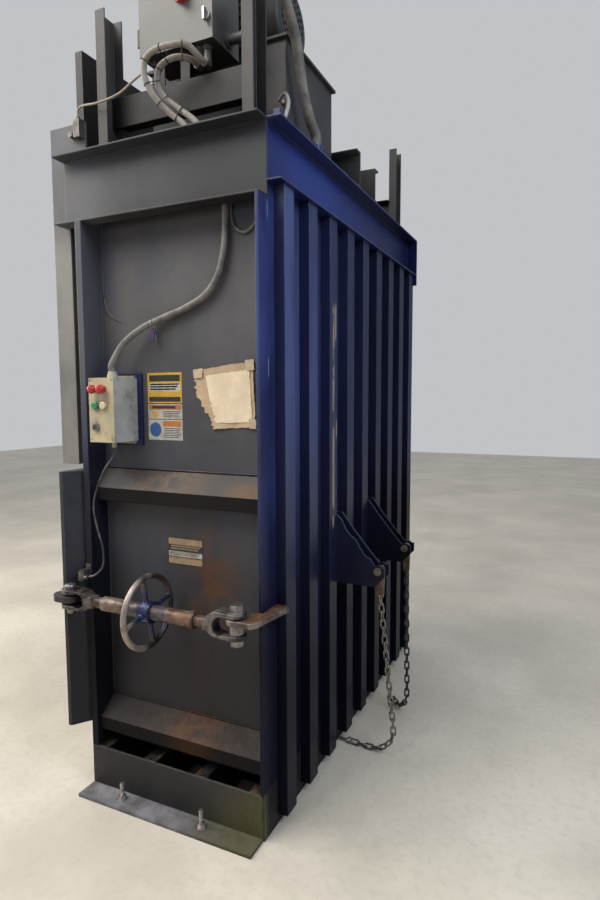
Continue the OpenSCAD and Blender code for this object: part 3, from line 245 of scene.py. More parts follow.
def painted(name, base, dust=0.5, shine=0.42, chips=0.5, extra=None, seed=0.0, dusty_top=0.0,
            dust_tone=DUST, chip_and_highlight_tone=STEEL, specular=0.5):
    m = Mat(name)
    big = m.noise(1.3, 5, 0.6, shift=(seed, seed, 0))
    m.fine = fine = m.noise(38, 5, 0.65, shift=(0, seed, seed))
    streak = m.noise(6, 5, 0.6, tall=0.35, shift=(seed, 0, 0))
    base_light = tuple(min(1, v * 1.18 + 0.001) for v in base)
    base_dark = scaled_tone(base, 0.8)
    m.colour = m.mix(m.ramp(streak, 0.3, 0.72), base_dark, base_light)
    film = m.mul(m.ramp(m.add(m.mul(big, 0.75), m.mul(streak, 0.25)), 0.3, 0.75), dust * 0.55)
    lying = m.mul(m.ramp(m.up(), 0.45, 0.95), m.ramp(fine, 0.2, 0.62), min(1.0, dust * 1.1))
    if dusty_top:
        film = m.add(film, m.mul(m.ramp(m.axis(2), 0.7, 2.3), m.ramp(big, 0.05, 0.7), dusty_top))
    dirt = m.add(film, lying)
    m.stain(dirt, dust_tone)
    smudge = m.blots(0.56, 0.74, 3.1, 6, 0.7, shift=(seed, 4, seed), warp=0.6)
    m.stain(m.mul(smudge, 0.3), scaled_tone(base, 0.45))
    grain = m.blots(0.42, 0.8, 95, 4, 0.7, wide=0.35, shift=(seed, 2, 2))
    m.stain(m.mul(grain, 0.22), scaled_tone(base, 1.7, 0.008))
    scratch = m.mul(
        m.blots(0.7, 0.74, 60, 2, 0.5, wide=0.05, shift=(seed, 1, 2)),
        m.ramp(big, 0.5, 0.62),
    )
    chip = m.mul(m.edge(), m.blots(0.5, 0.62, 52, 3, 0.6, shift=(3, seed, 1)), chips)
    m.stain(m.mul(scratch, 0.35), scaled_tone(base, 2.2, 0.03))
    # Chipped edges; where the chip tone is pale blue they are also a painted edge highlight
    m.stain(m.mul(chip, 0.85), m.mix(m.ramp(fine, 0.4, 0.6), chip_and_highlight_tone, RUST))
    m.rough = m.math("ADD", shine, m.mul(dirt, 0.42))
    m.roughen(m.mul(m.math("SUBTRACT", fine, 0.5), 0.16))
    if extra:
        extra(m)
    dents = m.noise(2.6, 3, 0.5, shift=(seed, seed, seed))
    normal = m.bump(dents, 0.3, 0.006, m.bevel_normal)
    normal = m.bump(m.noise(240, 3, 0.5), 0.12, 0.0006, normal)
    gloss = specular if m.shade is None else m.mul(m.flip(m.mul(m.shade, 0.85)), specular)
    return m.finish(m.rough, 0.0, normal, gloss)


def wall_wear_and_shade(m):
    z, x = m.axis(2), m.axis(0)
    # Painted shade: darker towards the bottom, with less gloss there
    low = m.ramp(z, 1.15, 0.6)
    m.stain(low, (0.013, 0.0122, 0.0125), 0.76)
    mid = m.mul(m.between(z, 1.05, 1.75, 0.15), m.blots(0.25, 0.6, 2.4, 4, 0.6, shift=(6, 6, 2)))
    m.stain(mid, (0.06, 0.058, 0.066), 0.35)
    m.stain(m.ramp(z, 1.9, 2.2), (0.045, 0.044, 0.046), 0.35)
    m.shade = m.mul(low, 0.5)
    blue = m.mul(m.blots(0.5, 0.7, 1.9, 4, 0.6, shift=(3, 1, 7)), m.ramp(z, 0.5, 1.5))
    m.stain(blue, (0.022, 0.028, 0.085), 0.34)
    edge_blue = m.mul(m.ramp(x, -0.27, -0.345), m.ramp(z, 0.9, 1.5), m.blots(0.4, 0.65, 4, 4))
    m.stain(edge_blue, (0.02, 0.026, 0.11), 0.45)
    # Rust behind the latch screw, and thin drips that ran down from it
    cloud = m.noise(11, 6, 0.7, warp=0.8)
    warm = m.mul(m.spot((0.13, -0.85, 0.89), (0.12, 0.2, 0.17), 0.9, 1.2, 7), m.ramp(cloud, 0.36, 0.6))
    m.stain(warm, (0.11, 0.038, 0.007), 0.72)
    haze = m.mul(m.spot((0.03, -0.85, 1.1), (0.15, 0.2, 0.12), 0.9, 0.6), m.ramp(cloud, 0.3, 0.6))
    m.stain(haze, (0.062, 0.038, 0.028), 0.5)
    torn = m.noise(9, 5, 0.7, shift=(4, 2, 9), warp=1.0)
    thin = m.mul(m.blots(0.52, 0.66, 58, 6, 0.75, tall=0.07, warp=1.1), m.ramp(torn, 0.4, 0.62))
    wide = m.mul(m.blots(0.38, 0.62, 15, 5, 0.7, tall=0.13, warp=0.7), m.ramp(torn, 0.25, 0.55))
    run = m.mul(m.between(x, 0.045, 0.195, 0.05), m.ramp(z, 0.33, 0.45), m.ramp(z, 0.8, 0.68))
    m.stain(m.mul(run, wide), (0.052, 0.022, 0.01), 0.62)
    m.stain(m.mul(run, thin), (0.1, 0.036, 0.012), 0.62)
    m.roughen(m.mul(run, thin, 0.25))
    seam = m.mul(m.between(z, 1.12, 1.172, 0.012), m.blots(0.45, 0.62, 30, 4, tall=0.2))
    m.stain(seam, (0.05, 0.028, 0.016), 0.4)
    # Shade right under the bent stiffeners and the header
    for top, deep in ((1.172, 0.035), (0.242, 0.08), (2.232, 0.03)):
        under = m.mul(m.ramp(z, top - deep, top - 0.005), m.ramp(z, top + 0.03, top + 0.012))
        m.stain(under, (0.006, 0.006, 0.008), 0.55)


def stiffener_wear_and_shade(m):
    z, x = m.axis(2), m.axis(0)
    cloud = m.noise(10, 6, 0.72, tall=1.4, warp=0.7)
    upright = m.mul(m.facing((0, -1, 0)), m.ramp(m.up(), 0.25, 0.1))
    # The outer lip and everything under it lie in their own shade
    lip = m.ramp(upright, 0.55, 0.85)
    down = m.ramp(m.up(), -0.02, -0.2)
    m.shade = m.add(lip, down)
    upper = m.ramp(z, 1.0, 1.1)
    slope = m.mul(upper, m.flip(lip))
    tan = m.mul(slope, m.between(x, -0.21, 0.1, 0.1), m.ramp(cloud, 0.4, 0.6))
    m.stain(tan, (0.24, 0.14, 0.06), 0.58)
    right = m.mul(slope, m.spot((0.31, -0.9, 1.235), (0.1, 0.12, 0.035), 0.8, 0.7, 16))
    m.stain(right, (0.2, 0.095, 0.025), 0.6)
    brown = m.mul(slope, m.blots(0.35, 0.65, 5, 5, 0.6, shift=(2, 8, 1)))
    m.stain(brown, (0.062, 0.05, 0.044), 0.6)
    low = m.ramp(z, 0.6, 0.5)
    m.stain(low, (0.015, 0.01, 0.0078), 0.92)
    warm = m.mul(low, m.spot((0.07, -0.9, 0.3), (0.125, 0.2, 0.085), 0.8, 0.9, 9), m.ramp(cloud, 0.36, 0.58))
    m.stain(warm, (0.12, 0.04, 0.008), 0.88)
    m.stain(m.mul(low, m.spot((0.08, -0.9, 0.3), (0.26, 0.2, 0.1), 0.9, 0.6)), (0.052, 0.025, 0.01), 0.42)
    # Painted shade: the outer lip is painted near-black
    m.stain(lip, (0.01, 0.0095, 0.0095), 0.88)
    m.stain(m.mul(lip, low, m.spot((0.07, -0.95, 0.26), (0.11, 0.2, 0.08), 0.9, 0.7)), (0.05, 0.024, 0.01), 0.5)
    m.roughen(m.mul(lip, 0.2))


def header_wear(m):
    z, x = m.axis(2), m.axis(0)
    cloud = m.noise(2.2, 5, 0.65, tall=2.2)
    m.stain(m.ramp(cloud, 0.42, 0.72), (0.075, 0.076, 0.082), 0.3)
    m.stain(m.ramp(x, -0.22, 0.2), (0.0165, 0.0165, 0.019), 0.8)
    m.stain(m.ramp(x, -0.2, -0.42), (0.135, 0.133, 0.132), 0.62)
    top = m.mul(m.ramp(z, 2.4, 2.47), m.ramp(m.up(), 0.5, 0.2))
    m.stain(top, (0.03, 0.031, 0.036), 0.6)
    lip = m.worn_edge(0.35, 0.6, 14, 4)
    m.stain(lip, (0.2, 0.195, 0.19), 0.35)
    blue = m.mul(m.spot((-0.4, -0.9, 2.45), (0.06, 0.1, 0.03), 0.9, 0.3, 20), m.ramp(m.fine, 0.3, 0.7))
    m.stain(blue, (0.045, 0.055, 0.16), 0.35)
    m.shade = m.ramp(m.up(), -0.2, -0.6)


def rear_header_wear_sheen_and_shade(m):
    y = m.axis(1)
    # Painted sheen: a bright blue patch on the faces that look along +X
    bright = m.mul(m.spot((0.44, -0.5, 2.38), (0.4, 0.42, 0.16), 0.9, 0.5, 4), m.facing((1, 0, 0)))
    m.stain(bright, (0.022, 0.046, 0.215), 0.78)
    # Painted shade: darker, and less glossy, towards the far end
    far = m.ramp(y, -0.1, 0.7)
    m.stain(far, (0.006, 0.008, 0.026), 0.6)
    m.shade = m.mul(far, 0.6)
    rim = m.worn_edge(0.3, 0.55, 18, 4)
    m.stain(rim, (0.16, 0.17, 0.22), 0.35)


def rib_wear_sheen_and_shade(m):
    y, z = m.axis(1), m.axis(2)
    # Painted sheen: pale blue up high on the faces that look along +X, on the near channels
    front = m.facing((1, 0, 0))
    tall = m.noise(7, 4, 0.6, tall=0.12, shift=(0, 3, 0))
    sheen = m.mul(front, m.ramp(z, 0.75, 1.75), m.ramp(y, -0.3, -0.76), m.ramp(tall, 0.28, 0.62))
    m.stain(sheen, (0.085, 0.115, 0.27), 0.7)
    # Painted sheen: deeper blue up high on the faces that look along -Y
    side = m.mul(m.facing((0, -1, 0)), m.ramp(z, 0.9, 1.9), m.ramp(y, 0.1, -0.7))
    m.stain(side, (0.014, 0.019, 0.078), 0.55)
    # Painted shade: near-black towards the bottom and towards the far channels, with less gloss there
    low = m.ramp(z, 1.45, 0.45)
    m.shade = m.add(m.mul(low, 0.95), m.mul(m.ramp(y, -0.35, 0.35), 0.55))
    m.stain(m.shade, (0.0038, 0.004, 0.0055), 0.88)
    # Painted highlight: broken pale blue lines along the upper edges
    rim = m.mul(m.edge(), m.ramp(z, 0.3, 1.6), m.blots(0.3, 0.55, 22, 4, tall=0.15))
    m.stain(rim, (0.13, 0.16, 0.25), 0.6)
    # Bare strips scraped down two of the channels, with torn ends
    torn = m.noise(24, 5, 0.75, tall=0.35, warp=0.6)
    for yc, z0, z1, wide in ((-0.395, 1.03, 1.93, 0.008), (-0.372, 1.8, 1.94, 0.006), (-0.15, 1.05, 1.88, 0.005),
                             (-0.345, 1.4, 1.47, 0.022), (-0.505, 1.92, 1.945, 0.03)):
        strip = m.mul(m.between(y, yc - wide, yc + wide, 0.003), m.between(z, z0, z1, 0.02))
        m.stain(m.mul(strip, m.ramp(torn, 0.4, 0.5)), (0.38, 0.27, 0.16), 0.9)


def base_wear(m):
    x, y, z = m.axis(0), m.axis(1), m.axis(2)
    foot = m.mul(m.ramp(z, 0.0145, 0.0115), m.ramp(m.math("ABSOLUTE", y), 0.94, 0.95))
    patchy = m.blots(0.35, 0.65, 9, 5, 0.65)
    foot_tone = m.mix(patchy, (0.2, 0.19, 0.195), (0.085, 0.08, 0.078))
    m.stain(m.mul(foot, m.ramp(x, 0.3, -0.05)), foot_tone)
    # Dry yellow spray that drifted over the right end of the sill
    drift = m.ramp(m.math("ADD", x, m.mul(m.math("SUBTRACT", 0.12, z), 0.9)), 0.1, 0.42)
    speck = m.blots(0.3, 0.7, 320, 3, 0.8)
    outer = m.ramp(y, -0.92, -0.935)
    m.stain(m.mul(drift, outer, speck), (0.155, 0.14, 0.022), 0.55)
    top_edge = m.mul(m.edge(), m.ramp(z, 0.12, 0.16))
    m.stain(top_edge, (0.1, 0.095, 0.088), 0.5)
    inner = m.ramp(y, -0.93, -0.9)
    m.shade = m.mul(inner, 0.9)
    m.roughen(m.mul(foot, 0.2))


def guide_wear(m):
    x, z = m.axis(0), m.axis(2)
    pale = m.mul(m.ramp(z, 2.3, 2.1), m.blots(0.25, 0.65, 5, 5, 0.6, tall=0.4))
    m.stain(pale, (0.27, 0.255, 0.225), 0.65)
    head = m.mul(m.ramp(z, 2.42, 2.48), m.ramp(x, -0.36, -0.42))
    patch = m.blots(0.45, 0.62, 12, 5, 0.65, shift=(4, 4, 1))
    m.stain(m.mul(head, patch), (0.085, 0.095, 0.145), 0.3)


def corner_wear_highlight_and_shade(m):
    x, y, z = m.axis(0), m.axis(1), m.axis(2)
    rear = m.ramp(x, 0.25, 0.35)
    mottled = m.blots(0.32, 0.64, 4.5, 5, 0.6, tall=0.3, shift=(1, 1, 6))
    lit = m.mul(rear, m.ramp(z, 0.75, 1.5), mottled)
    m.stain(lit, (0.042, 0.064, 0.205), 0.75)
    # Pale scrapes where the corner was welded under the header, and one lower down
    for z0, z1 in ((2.165, 2.21), (1.64, 1.7)):
        scrape = m.mul(m.between(z, z0, z1, 0.016), m.between(y, -0.8855, -0.8805, 0.0012), m.ramp(x, 0.386, 0.388))
        m.stain(m.mul(scrape, m.blots(0.2, 0.5, 60, 3)), (0.3, 0.33, 0.38), 0.7)
    front = m.mul(m.ramp(x, 0.0, -0.3), m.ramp(z, 1.15, 1.8))
    m.stain(front, (0.085, 0.084, 0.086), 0.85)
    # Painted shade: near-black on the lower part of the front post, and darker towards the bottom of both posts,
    # with less gloss there
    black = m.mul(m.ramp(x, 0.0, -0.3), m.ramp(z, 1.4, 1.25))
    m.stain(black, (0.01, 0.01, 0.0125), 0.85)
    low = m.ramp(z, 1.4, 0.6)
    m.shade = low
    m.stain(low, (0.0075, 0.0075, 0.009), 0.88)
    rim = m.worn_edge(0.35, 0.6, 20, 4, tall=0.3)
    m.stain(rim, (0.09, 0.095, 0.12), 0.4)


def door_wear_and_shade(m):
    y, z = m.axis(1), m.axis(2)
    lug = m.mul(m.ramp(y, -0.96, -0.975), m.between(z, 0.775, 0.825, 0.006))
    m.stain(lug, (0.05, 0.042, 0.038), 0.9)
    # Painted shade: darker towards the bottom, with less gloss there
    low = m.ramp(z, 1.2, 0.5)
    m.shade = m.mul(low, 0.5)
    m.stain(low, (0.008, 0.008, 0.01), 0.55)
    rim = m.worn_edge(0.3, 0.55, 16, 4, tall=0.25)
    m.stain(rim, (0.22, 0.21, 0.21), 0.55)


def column_wear(m):
    x = m.axis(0)
    brown = m.blots(0.35, 0.66, 6, 5, 0.65, tall=0.25, shift=(2, 6, 3))
    m.stain(brown, (0.06, 0.051, 0.042), 0.5)
    m.stain(m.ramp(x, -0.1, -0.2), (0.075, 0.07, 0.063), 0.5)
    dark = m.mul(m.ramp(x, 0.0, 0.25), m.blots(0.3, 0.62, 9, 4, 0.6, tall=0.1))
    m.stain(dark, (0.011, 0.0105, 0.011), 0.6)
    rim = m.worn_edge(0.3, 0.55, 18, 4)
    m.stain(rim, (0.16, 0.15, 0.14), 0.4)


def beam_wear(m):
    lying = m.mul(m.ramp(m.up(), 0.5, 0.9), m.ramp(m.fine, 0.15, 0.5))
    m.stain(lying, (0.13, 0.115, 0.09), 0.7)
    ledge = m.mul(m.ramp(m.axis(2), 2.585, 2.575), m.facing((0, -1, 0)), m.blots(0.3, 0.6, 8, 4))
    m.stain(ledge, (0.085, 0.072, 0.056), 0.6)


def forged(name, rust=0.6, light=(0.15, 0.12, 0.1), dark=(0.04, 0.032, 0.027), worn=0.6, extra=None):
    m = Mat(name)
    mid = m.noise(14, 6, 0.65)
    m.fine = fine = m.noise(90, 5, 0.7)
    m.colour = m.mix(m.ramp(mid, 0.4, 0.62), dark, light)
    orange = m.mul(m.blots(0.5, 0.66, 22, 5, 0.7, shift=(5, 2, 1)), rust)
    m.stain(orange, m.mix(fine, RUST_DARK, (0.22, 0.095, 0.035)))
    bright = m.mul(m.edge(0.003), m.blots(0.35, 0.55, 30, 3), worn)
    m.stain(bright, (0.42, 0.4, 0.38))
    metallic = m.math("ADD", m.mul(m.flip(orange), 0.55), m.mul(bright, 0.4), clamp=True)
    m.rough = m.math("ADD", 0.3, m.mul(orange, 0.5), clamp=True)
    m.roughen(m.mul(m.ramp(mid, 0.4, 0.62), 0.14))
    if extra:
        extra(m)
    normal = m.bump(m.noise(26, 5, 0.6), 0.4, 0.0024, m.bevel_normal)
    normal = m.bump(m.noise(300, 3, 0.6), 0.35, 0.0005, normal)
    return m.finish(m.rough, metallic, normal)


def wheel_wear(m):
    """Blue paint is left on the hub, the spokes and the low far part of the rim; the near rim is bare."""
    y, z = m.axis(1), m.axis(2)
    spot = m.spot((-0.05, -1.018, 0.8), (0.2, 0.105, 0.105), 0.35, 0.3, 20)
    far_rim = m.mul(m.ramp(y, -1.0, -0.94), m.ramp(z, 0.84, 0.74))
    paint = m.mul(m.add(spot, far_rim), m.blots(0.3, 0.5, 26, 5, 0.7, shift=(1, 1, 1)))
    m.stain(paint, (0.016, 0.026, 0.09), 0.9)
    dark_rim = m.mul(m.ramp(y, -1.02, -0.95), m.flip(spot))
    m.stain(dark_rim, (0.018, 0.016, 0.017), 0.6)
    near_rim = m.mul(m.ramp(y, -1.03, -1.09), m.flip(spot), m.blots(0.25, 0.5, 18, 4, shift=(3, 3, 3)))
    m.stain(near_rim, (0.4, 0.33, 0.28), 0.75)
    m.rough = m.math("SUBTRACT", m.rough, m.mul(paint, 0.12), clamp=True)


def sleeve_wear(m):
    x = m.axis(0)
    middle = m.mul(m.between(x, -0.11, 0.07, 0.03), m.blots(0.36, 0.56, 30, 5, 0.7))
    m.stain(middle, (0.035, 0.045, 0.1), 0.55)
    rusty = m.mul(m.ramp(x, 0.03, 0.16), m.blots(0.34, 0.6, 34, 5, 0.7, shift=(8, 1, 1)))
    m.stain(rusty, (0.15, 0.062, 0.022), 0.75)
    m.roughen(m.mul(rusty, 0.25))


def arm_wear(m):
    """Rust lies over the top of the arm's free end."""
    tone = (0.19, 0.08, 0.03)
    top = m.mul(m.ramp(m.up(), 0.7, 0.95), m.between(m.axis(0), 0.36, 0.5, 0.02), m.ramp(m.fine, 0.3, 0.5))
    broken = m.ramp(m.add(m.mul(top, 0.8), m.mul(m.math("SUBTRACT", m.fine, 0.5), 0.9)), 0.35, 0.75)
    m.stain(broken, m.mix(m.ramp(m.fine, 0.35, 0.65), scaled_tone(tone, 0.45), tone), 0.8)
    m.roughen(m.mul(broken, 0.3))


def plated(name, tone=(0.36, 0.34, 0.31), dull=0.38, rust=0.2, thread=None):
    m = Mat(name)
    mid = m.noise(35, 5, 0.65)
    m.colour = m.mix(m.ramp(mid, 0.3, 0.7), scaled_tone(tone, 0.45), tone)
    spots = m.mul(m.blots(0.55, 0.7, 70, 5, 0.7, shift=(2, 2, 2)), rust)
    m.stain(spots, RUST)
    rough = m.math("ADD", dull, m.mul(spots, 0.4), clamp=True)
    normal = m.bump(m.noise(400, 3), 0.15, 0.0004, m.edge(0.0015) and m.bevel_normal)
    if thread:
        normal = m.bump(m.wave(thread), 0.9, 0.0012, normal)
    return m.finish(rough, 0.85, normal)


def plastic(name, tone, rough=0.35, grime=0.4, scale=45):
    m = Mat(name)
    dirt = m.mul(m.blots(0.42, 0.7, scale, 5, 0.65), grime)
    m.colour = m.mix(m.blots(0.3, 0.7, scale * 3, 3), scaled_tone(tone, 0.85), tone)
    m.stain(dirt, (0.06, 0.052, 0.042))
    return m.finish(m.math("ADD", rough, m.mul(dirt, 0.3)), 0.0, m.bump(m.noise(500, 3), 0.1, 0.0003))


def cable_skin(name, tone, dust=0.5, rough=0.6):
    m = Mat(name)
    dirt = m.mul(m.blots(0.36, 0.66, 20, 5, 0.6), dust)
    lying = m.mul(m.ramp(m.up(), 0.1, 0.9), dust)
    m.colour = m.mix(m.blots(0.3, 0.7, 60, 3), scaled_tone(tone, 0.7), tone)
    m.stain(m.add(dirt, lying), (0.25, 0.225, 0.19))
    normal = m.bump(m.noise(200, 4, 0.6), 0.25, 0.0006)
    return m.finish(rough, 0.0, normal)


def box_cover(name):
    m = Mat(name)
    # Painted light: the front face is painted warmer and yellower than the sides
    front = m.ramp(m.facing((0, -1, 0)), 0.5, 0.9)
    tone = m.mix(front, (0.4, 0.405, 0.36), (0.5, 0.42, 0.25))
    fine = m.noise(60, 5, 0.65)
    m.colour = m.mix(m.blots(0.35, 0.7, 9, 5, 0.6), m.mix(0.32, tone, (0.14, 0.14, 0.11)), tone)
    grime = m.mul(m.blots(0.5, 0.68, 14, 6, 0.7, shift=(1, 5, 2)), 0.55)
    m.stain(grime, (0.1, 0.09, 0.065))
    chip = m.mul(m.edge(0.003), m.ramp(fine, 0.5, 0.62))
    m.stain(m.mul(chip, 0.7), (0.1, 0.075, 0.05))
    lying = m.mul(m.ramp(m.up(), 0.6, 0.95), 0.6)
    m.stain(lying, (0.3, 0.27, 0.22))
    normal = m.bump(m.noise(160, 4), 0.2, 0.0006, m.bevel_normal)
    return m.finish(0.5, 0.0, normal)


def enclosure_coat(name):
    m = Mat(name)
    fine = m.noise(70, 5, 0.65)
    tone = (0.126, 0.124, 0.11)
    m.colour = m.mix(m.blots(0.35, 0.7, 3, 5, 0.6), scaled_tone(tone, 0.86), tone)
    grime = m.mul(m.blots(0.5, 0.72, 6, 6, 0.75, tall=0.5), 0.3)
    m.stain(grime, (0.1, 0.095, 0.08))
    # Painted shade: the faces that look down are painted near-black
    underside_shade = m.ramp(m.up(), -0.2, -0.7)
    m.stain(m.mul(underside_shade, 0.9), (0.016, 0.015, 0.014))
    chip = m.mul(m.edge(0.003), m.ramp(fine, 0.52, 0.64), 0.5)
    m.stain(chip, (0.07, 0.06, 0.05))
    normal = m.bump(m.noise(220, 4), 0.18, 0.0006, m.bevel_normal)
    return m.finish(0.44, 0.0, normal, specular=0.4)


def card(name, tone, crush=0.3):
    m = Mat(name)
    m.colour = m.mix(m.blots(0.35, 0.7, 12, 5, 0.6), scaled_tone(tone, 0.82), tone)
    marks = m.mul(m.blots(0.58, 0.72, 40, 5, 0.7, shift=(1, 1, 4)), crush)
    m.stain(marks, (0.2, 0.15, 0.1))
    normal = m.bump(m.noise(9, 4, 0.6), 0.5, 0.004)
    normal = m.bump(m.noise(220, 3), 0.2, 0.0005, normal)
    return m.finish(0.8, 0.0, normal, specular=0.25)


def chrome():
    m = Mat("ground_chrome")
    m.colour = m.mix(m.noise(40, 3), (0.55, 0.56, 0.58), (0.72, 0.73, 0.75))
    return m.finish(m.math("ADD", 0.1, m.mul(m.noise(25, 4), 0.12)), 1.0)


# Cool dust of the blue paint, and a pale blue for its chipped edges that is also a painted highlight along them
BLUE_DUST_AND_EDGE_HIGHLIGHT = (0.05, 0.056, 0.085), (0.14, 0.17, 0.26)
navy = painted("navy_paint", (0.009, 0.013, 0.06), 0.3, 0.4, 0.6, None, 2.0, 0.0, *BLUE_DUST_AND_EDGE_HIGHLIGHT, 0.4)
ribs_paint = painted("navy_ribs", NAVY, 0.16, 0.33, 0.6, rib_wear_sheen_and_shade, 5.0, 0.0, *BLUE_DUST_AND_EDGE_HIGHLIGHT, 0.42)
corner_paint = painted("navy_corner", (0.01, 0.014, 0.07), 0.25, 0.36, 0.8, corner_wear_highlight_and_shade, 7.0, 0.0, *BLUE_DUST_AND_EDGE_HIGHLIGHT, 0.42)
door_paint = painted("navy_door", (0.026, 0.0265, 0.033), 0.3, 0.44, 0.8, door_wear_and_shade, 9.0, 0.0, (0.09, 0.088, 0.09),
                     STEEL, 0.35)
wall_paint = painted("dusty_wall", (0.04, 0.041, 0.05), 0.4, 0.5, 0.4, wall_wear_and_shade, 1.0, 0.26, specular=0.4)
stiffener_paint = painted("dusty_stiffener", (0.03, 0.028, 0.028), 0.42, 0.52, 0.5, stiffener_wear_and_shade, 3.0,
                          specular=0.35)
header_paint = painted("dusty_header", (0.038, 0.039, 0.045), 0.28, 0.5, 0.4, header_wear, 4.0, 0.0, specular=0.35)
rear_header_paint = painted("navy_header", (0.008, 0.013, 0.08), 0.16, 0.34, 0.5, rear_header_wear_sheen_and_shade, 6.0, 0.0,
                            *BLUE_DUST_AND_EDGE_HIGHLIGHT, 0.4)
base_paint = painted("dusty_base", (0.0085, 0.0085, 0.0092), 0.18, 0.52, 0.5, base_wear, 8.0, specular=0.35)
guide_paint = painted("dusty_guide", (0.07, 0.069, 0.07), 0.75, 0.5, 0.6, guide_wear, 10.0)
upper_paint = painted("dusty_column", (0.024, 0.022, 0.02), 0.26, 0.5, 0.4, column_wear, 12.0, specular=0.35)
beam_paint = painted("dusty_beam", (0.0065, 0.0058, 0.0052), 0.08, 0.5, 0.4, beam_wear, 13.0, specular=0.3)
machine_paint = painted("dusty_machine", (0.021, 0.02, 0.019), 0.34, 0.48, 0.4, None, 14.0, specular=0.35)
floor_steel = forged("worn_floor_steel", 0.7, (0.085, 0.075, 0.068), (0.024, 0.02, 0.018), 0.4)
jaw_steel = forged("latch_steel", 0.35, (0.16, 0.14, 0.13), (0.024, 0.02, 0.019), 1.0)
sleeve_steel = forged("sleeve_steel", 0.8, (0.27, 0.215, 0.165), (0.07, 0.045, 0.03), 0.8, sleeve_wear)
wheel_steel = forged("wheel_steel", 0.3, (0.17, 0.135, 0.115), (0.035, 0.028, 0.026), 0.8, wheel_wear)
arm_steel = forged("arm_steel", 0.4, (0.24, 0.195, 0.175), (0.075, 0.058, 0.052), 0.8, arm_wear)
hanger_steel = forged("hanger_steel", 0.8, (0.2, 0.16, 0.12), (0.07, 0.05, 0.036), 0.5)
chain_steel = plated("chain_steel", (0.3, 0.275, 0.24), 0.36, 0.55)
far_chain_steel = plated("far_chain_steel", (0.07, 0.065, 0.06), 0.4, 0.35)
bolt_steel = plated("bolt_steel", (0.3, 0.28, 0.265), 0.32, 0.3)
anchor_steel = plated("anchor_steel", (0.4, 0.36, 0.31), 0.34, 0.35, 130.0)
switch_steel = plated("switch_steel", (0.24, 0.22, 0.2), 0.45, 0.35)
lock_steel = plated("lock_steel", (0.45, 0.44, 0.42), 0.3, 0.1)
red = plastic("red_plastic", (0.42, 0.02, 0.016), 0.32, 0.25)
green = plastic("green_plastic", (0.02, 0.24, 0.1), 0.32, 0.3)
cream = plastic("cream_plastic", (0.62, 0.52, 0.3), 0.4, 0.3)
parts_plastic = plastic("device_plastic", (0.1, 0.1, 0.11), 0.45, 0.3)

USE = {}
for material, names in (
    (ribs_paint, "rear_wall rear_ribs chain_brackets"),
    (corner_paint, "corner_posts"),
    (rear_header_paint, "end_headers"),
    (navy, "control_box_bracket platen_beams"),
    (door_paint, "door_panel door_stile door_hinges frame_hinges"),
    (base_paint, "base_sills"),
    (wall_paint, "side_walls"),
    (stiffener_paint, "wall_stiffeners"),
    (header_paint, "side_headers"),
    (guide_paint, "gate_guides"),
    (upper_paint, "upper_columns"),
    (beam_paint, "top_crossbeams"),
    (machine_paint, "cylinder_beams feed_gate cylinder_barrel hydraulic_tank pump_motor fan_cowl"),
    (floor_steel, "floor_runners floor_plate platen_plate"),
    (hanger_steel, "chain_hangers"),
    (arm_steel, "latch_anchor_arm"),
    (jaw_steel, "latch_left_jaw latch_right_jaw"),
    (sleeve_steel, "latch_sleeve"),
    (wheel_steel, "latch_handwheel"),
    (chain_steel, "near_chain"),
    (far_chain_steel, "far_chain"),
    (bolt_steel, "latch_bolt latch_pin"),
    (anchor_steel, "anchor_bolts"),
    (switch_steel, "limit_switches"),
    (parts_plastic, "enclosure_panel"),
    (lock_steel, "enclosure_knob key_selector"),
    (chrome(), "piston_rod"),
    (enclosure_coat("enclosure_coat"), "electrical_enclosure"),
    (enclosure_coat("enclosure_door_coat"), "enclosure_door"),
    (box_cover("box_cover"), "control_box"),
    (red, "stop_button_left stop_button_right disconnect_handle"),
    (green, "start_button"),
    (cream, "reverse_button"),
):
    for node_name in names.split():
        USE[node_name] = material
        slots = NODES[node_name].data.materials
        slots.clear()
        slots.append(material)


# Cords: the same points as the part, in millimetres, smoothed between them

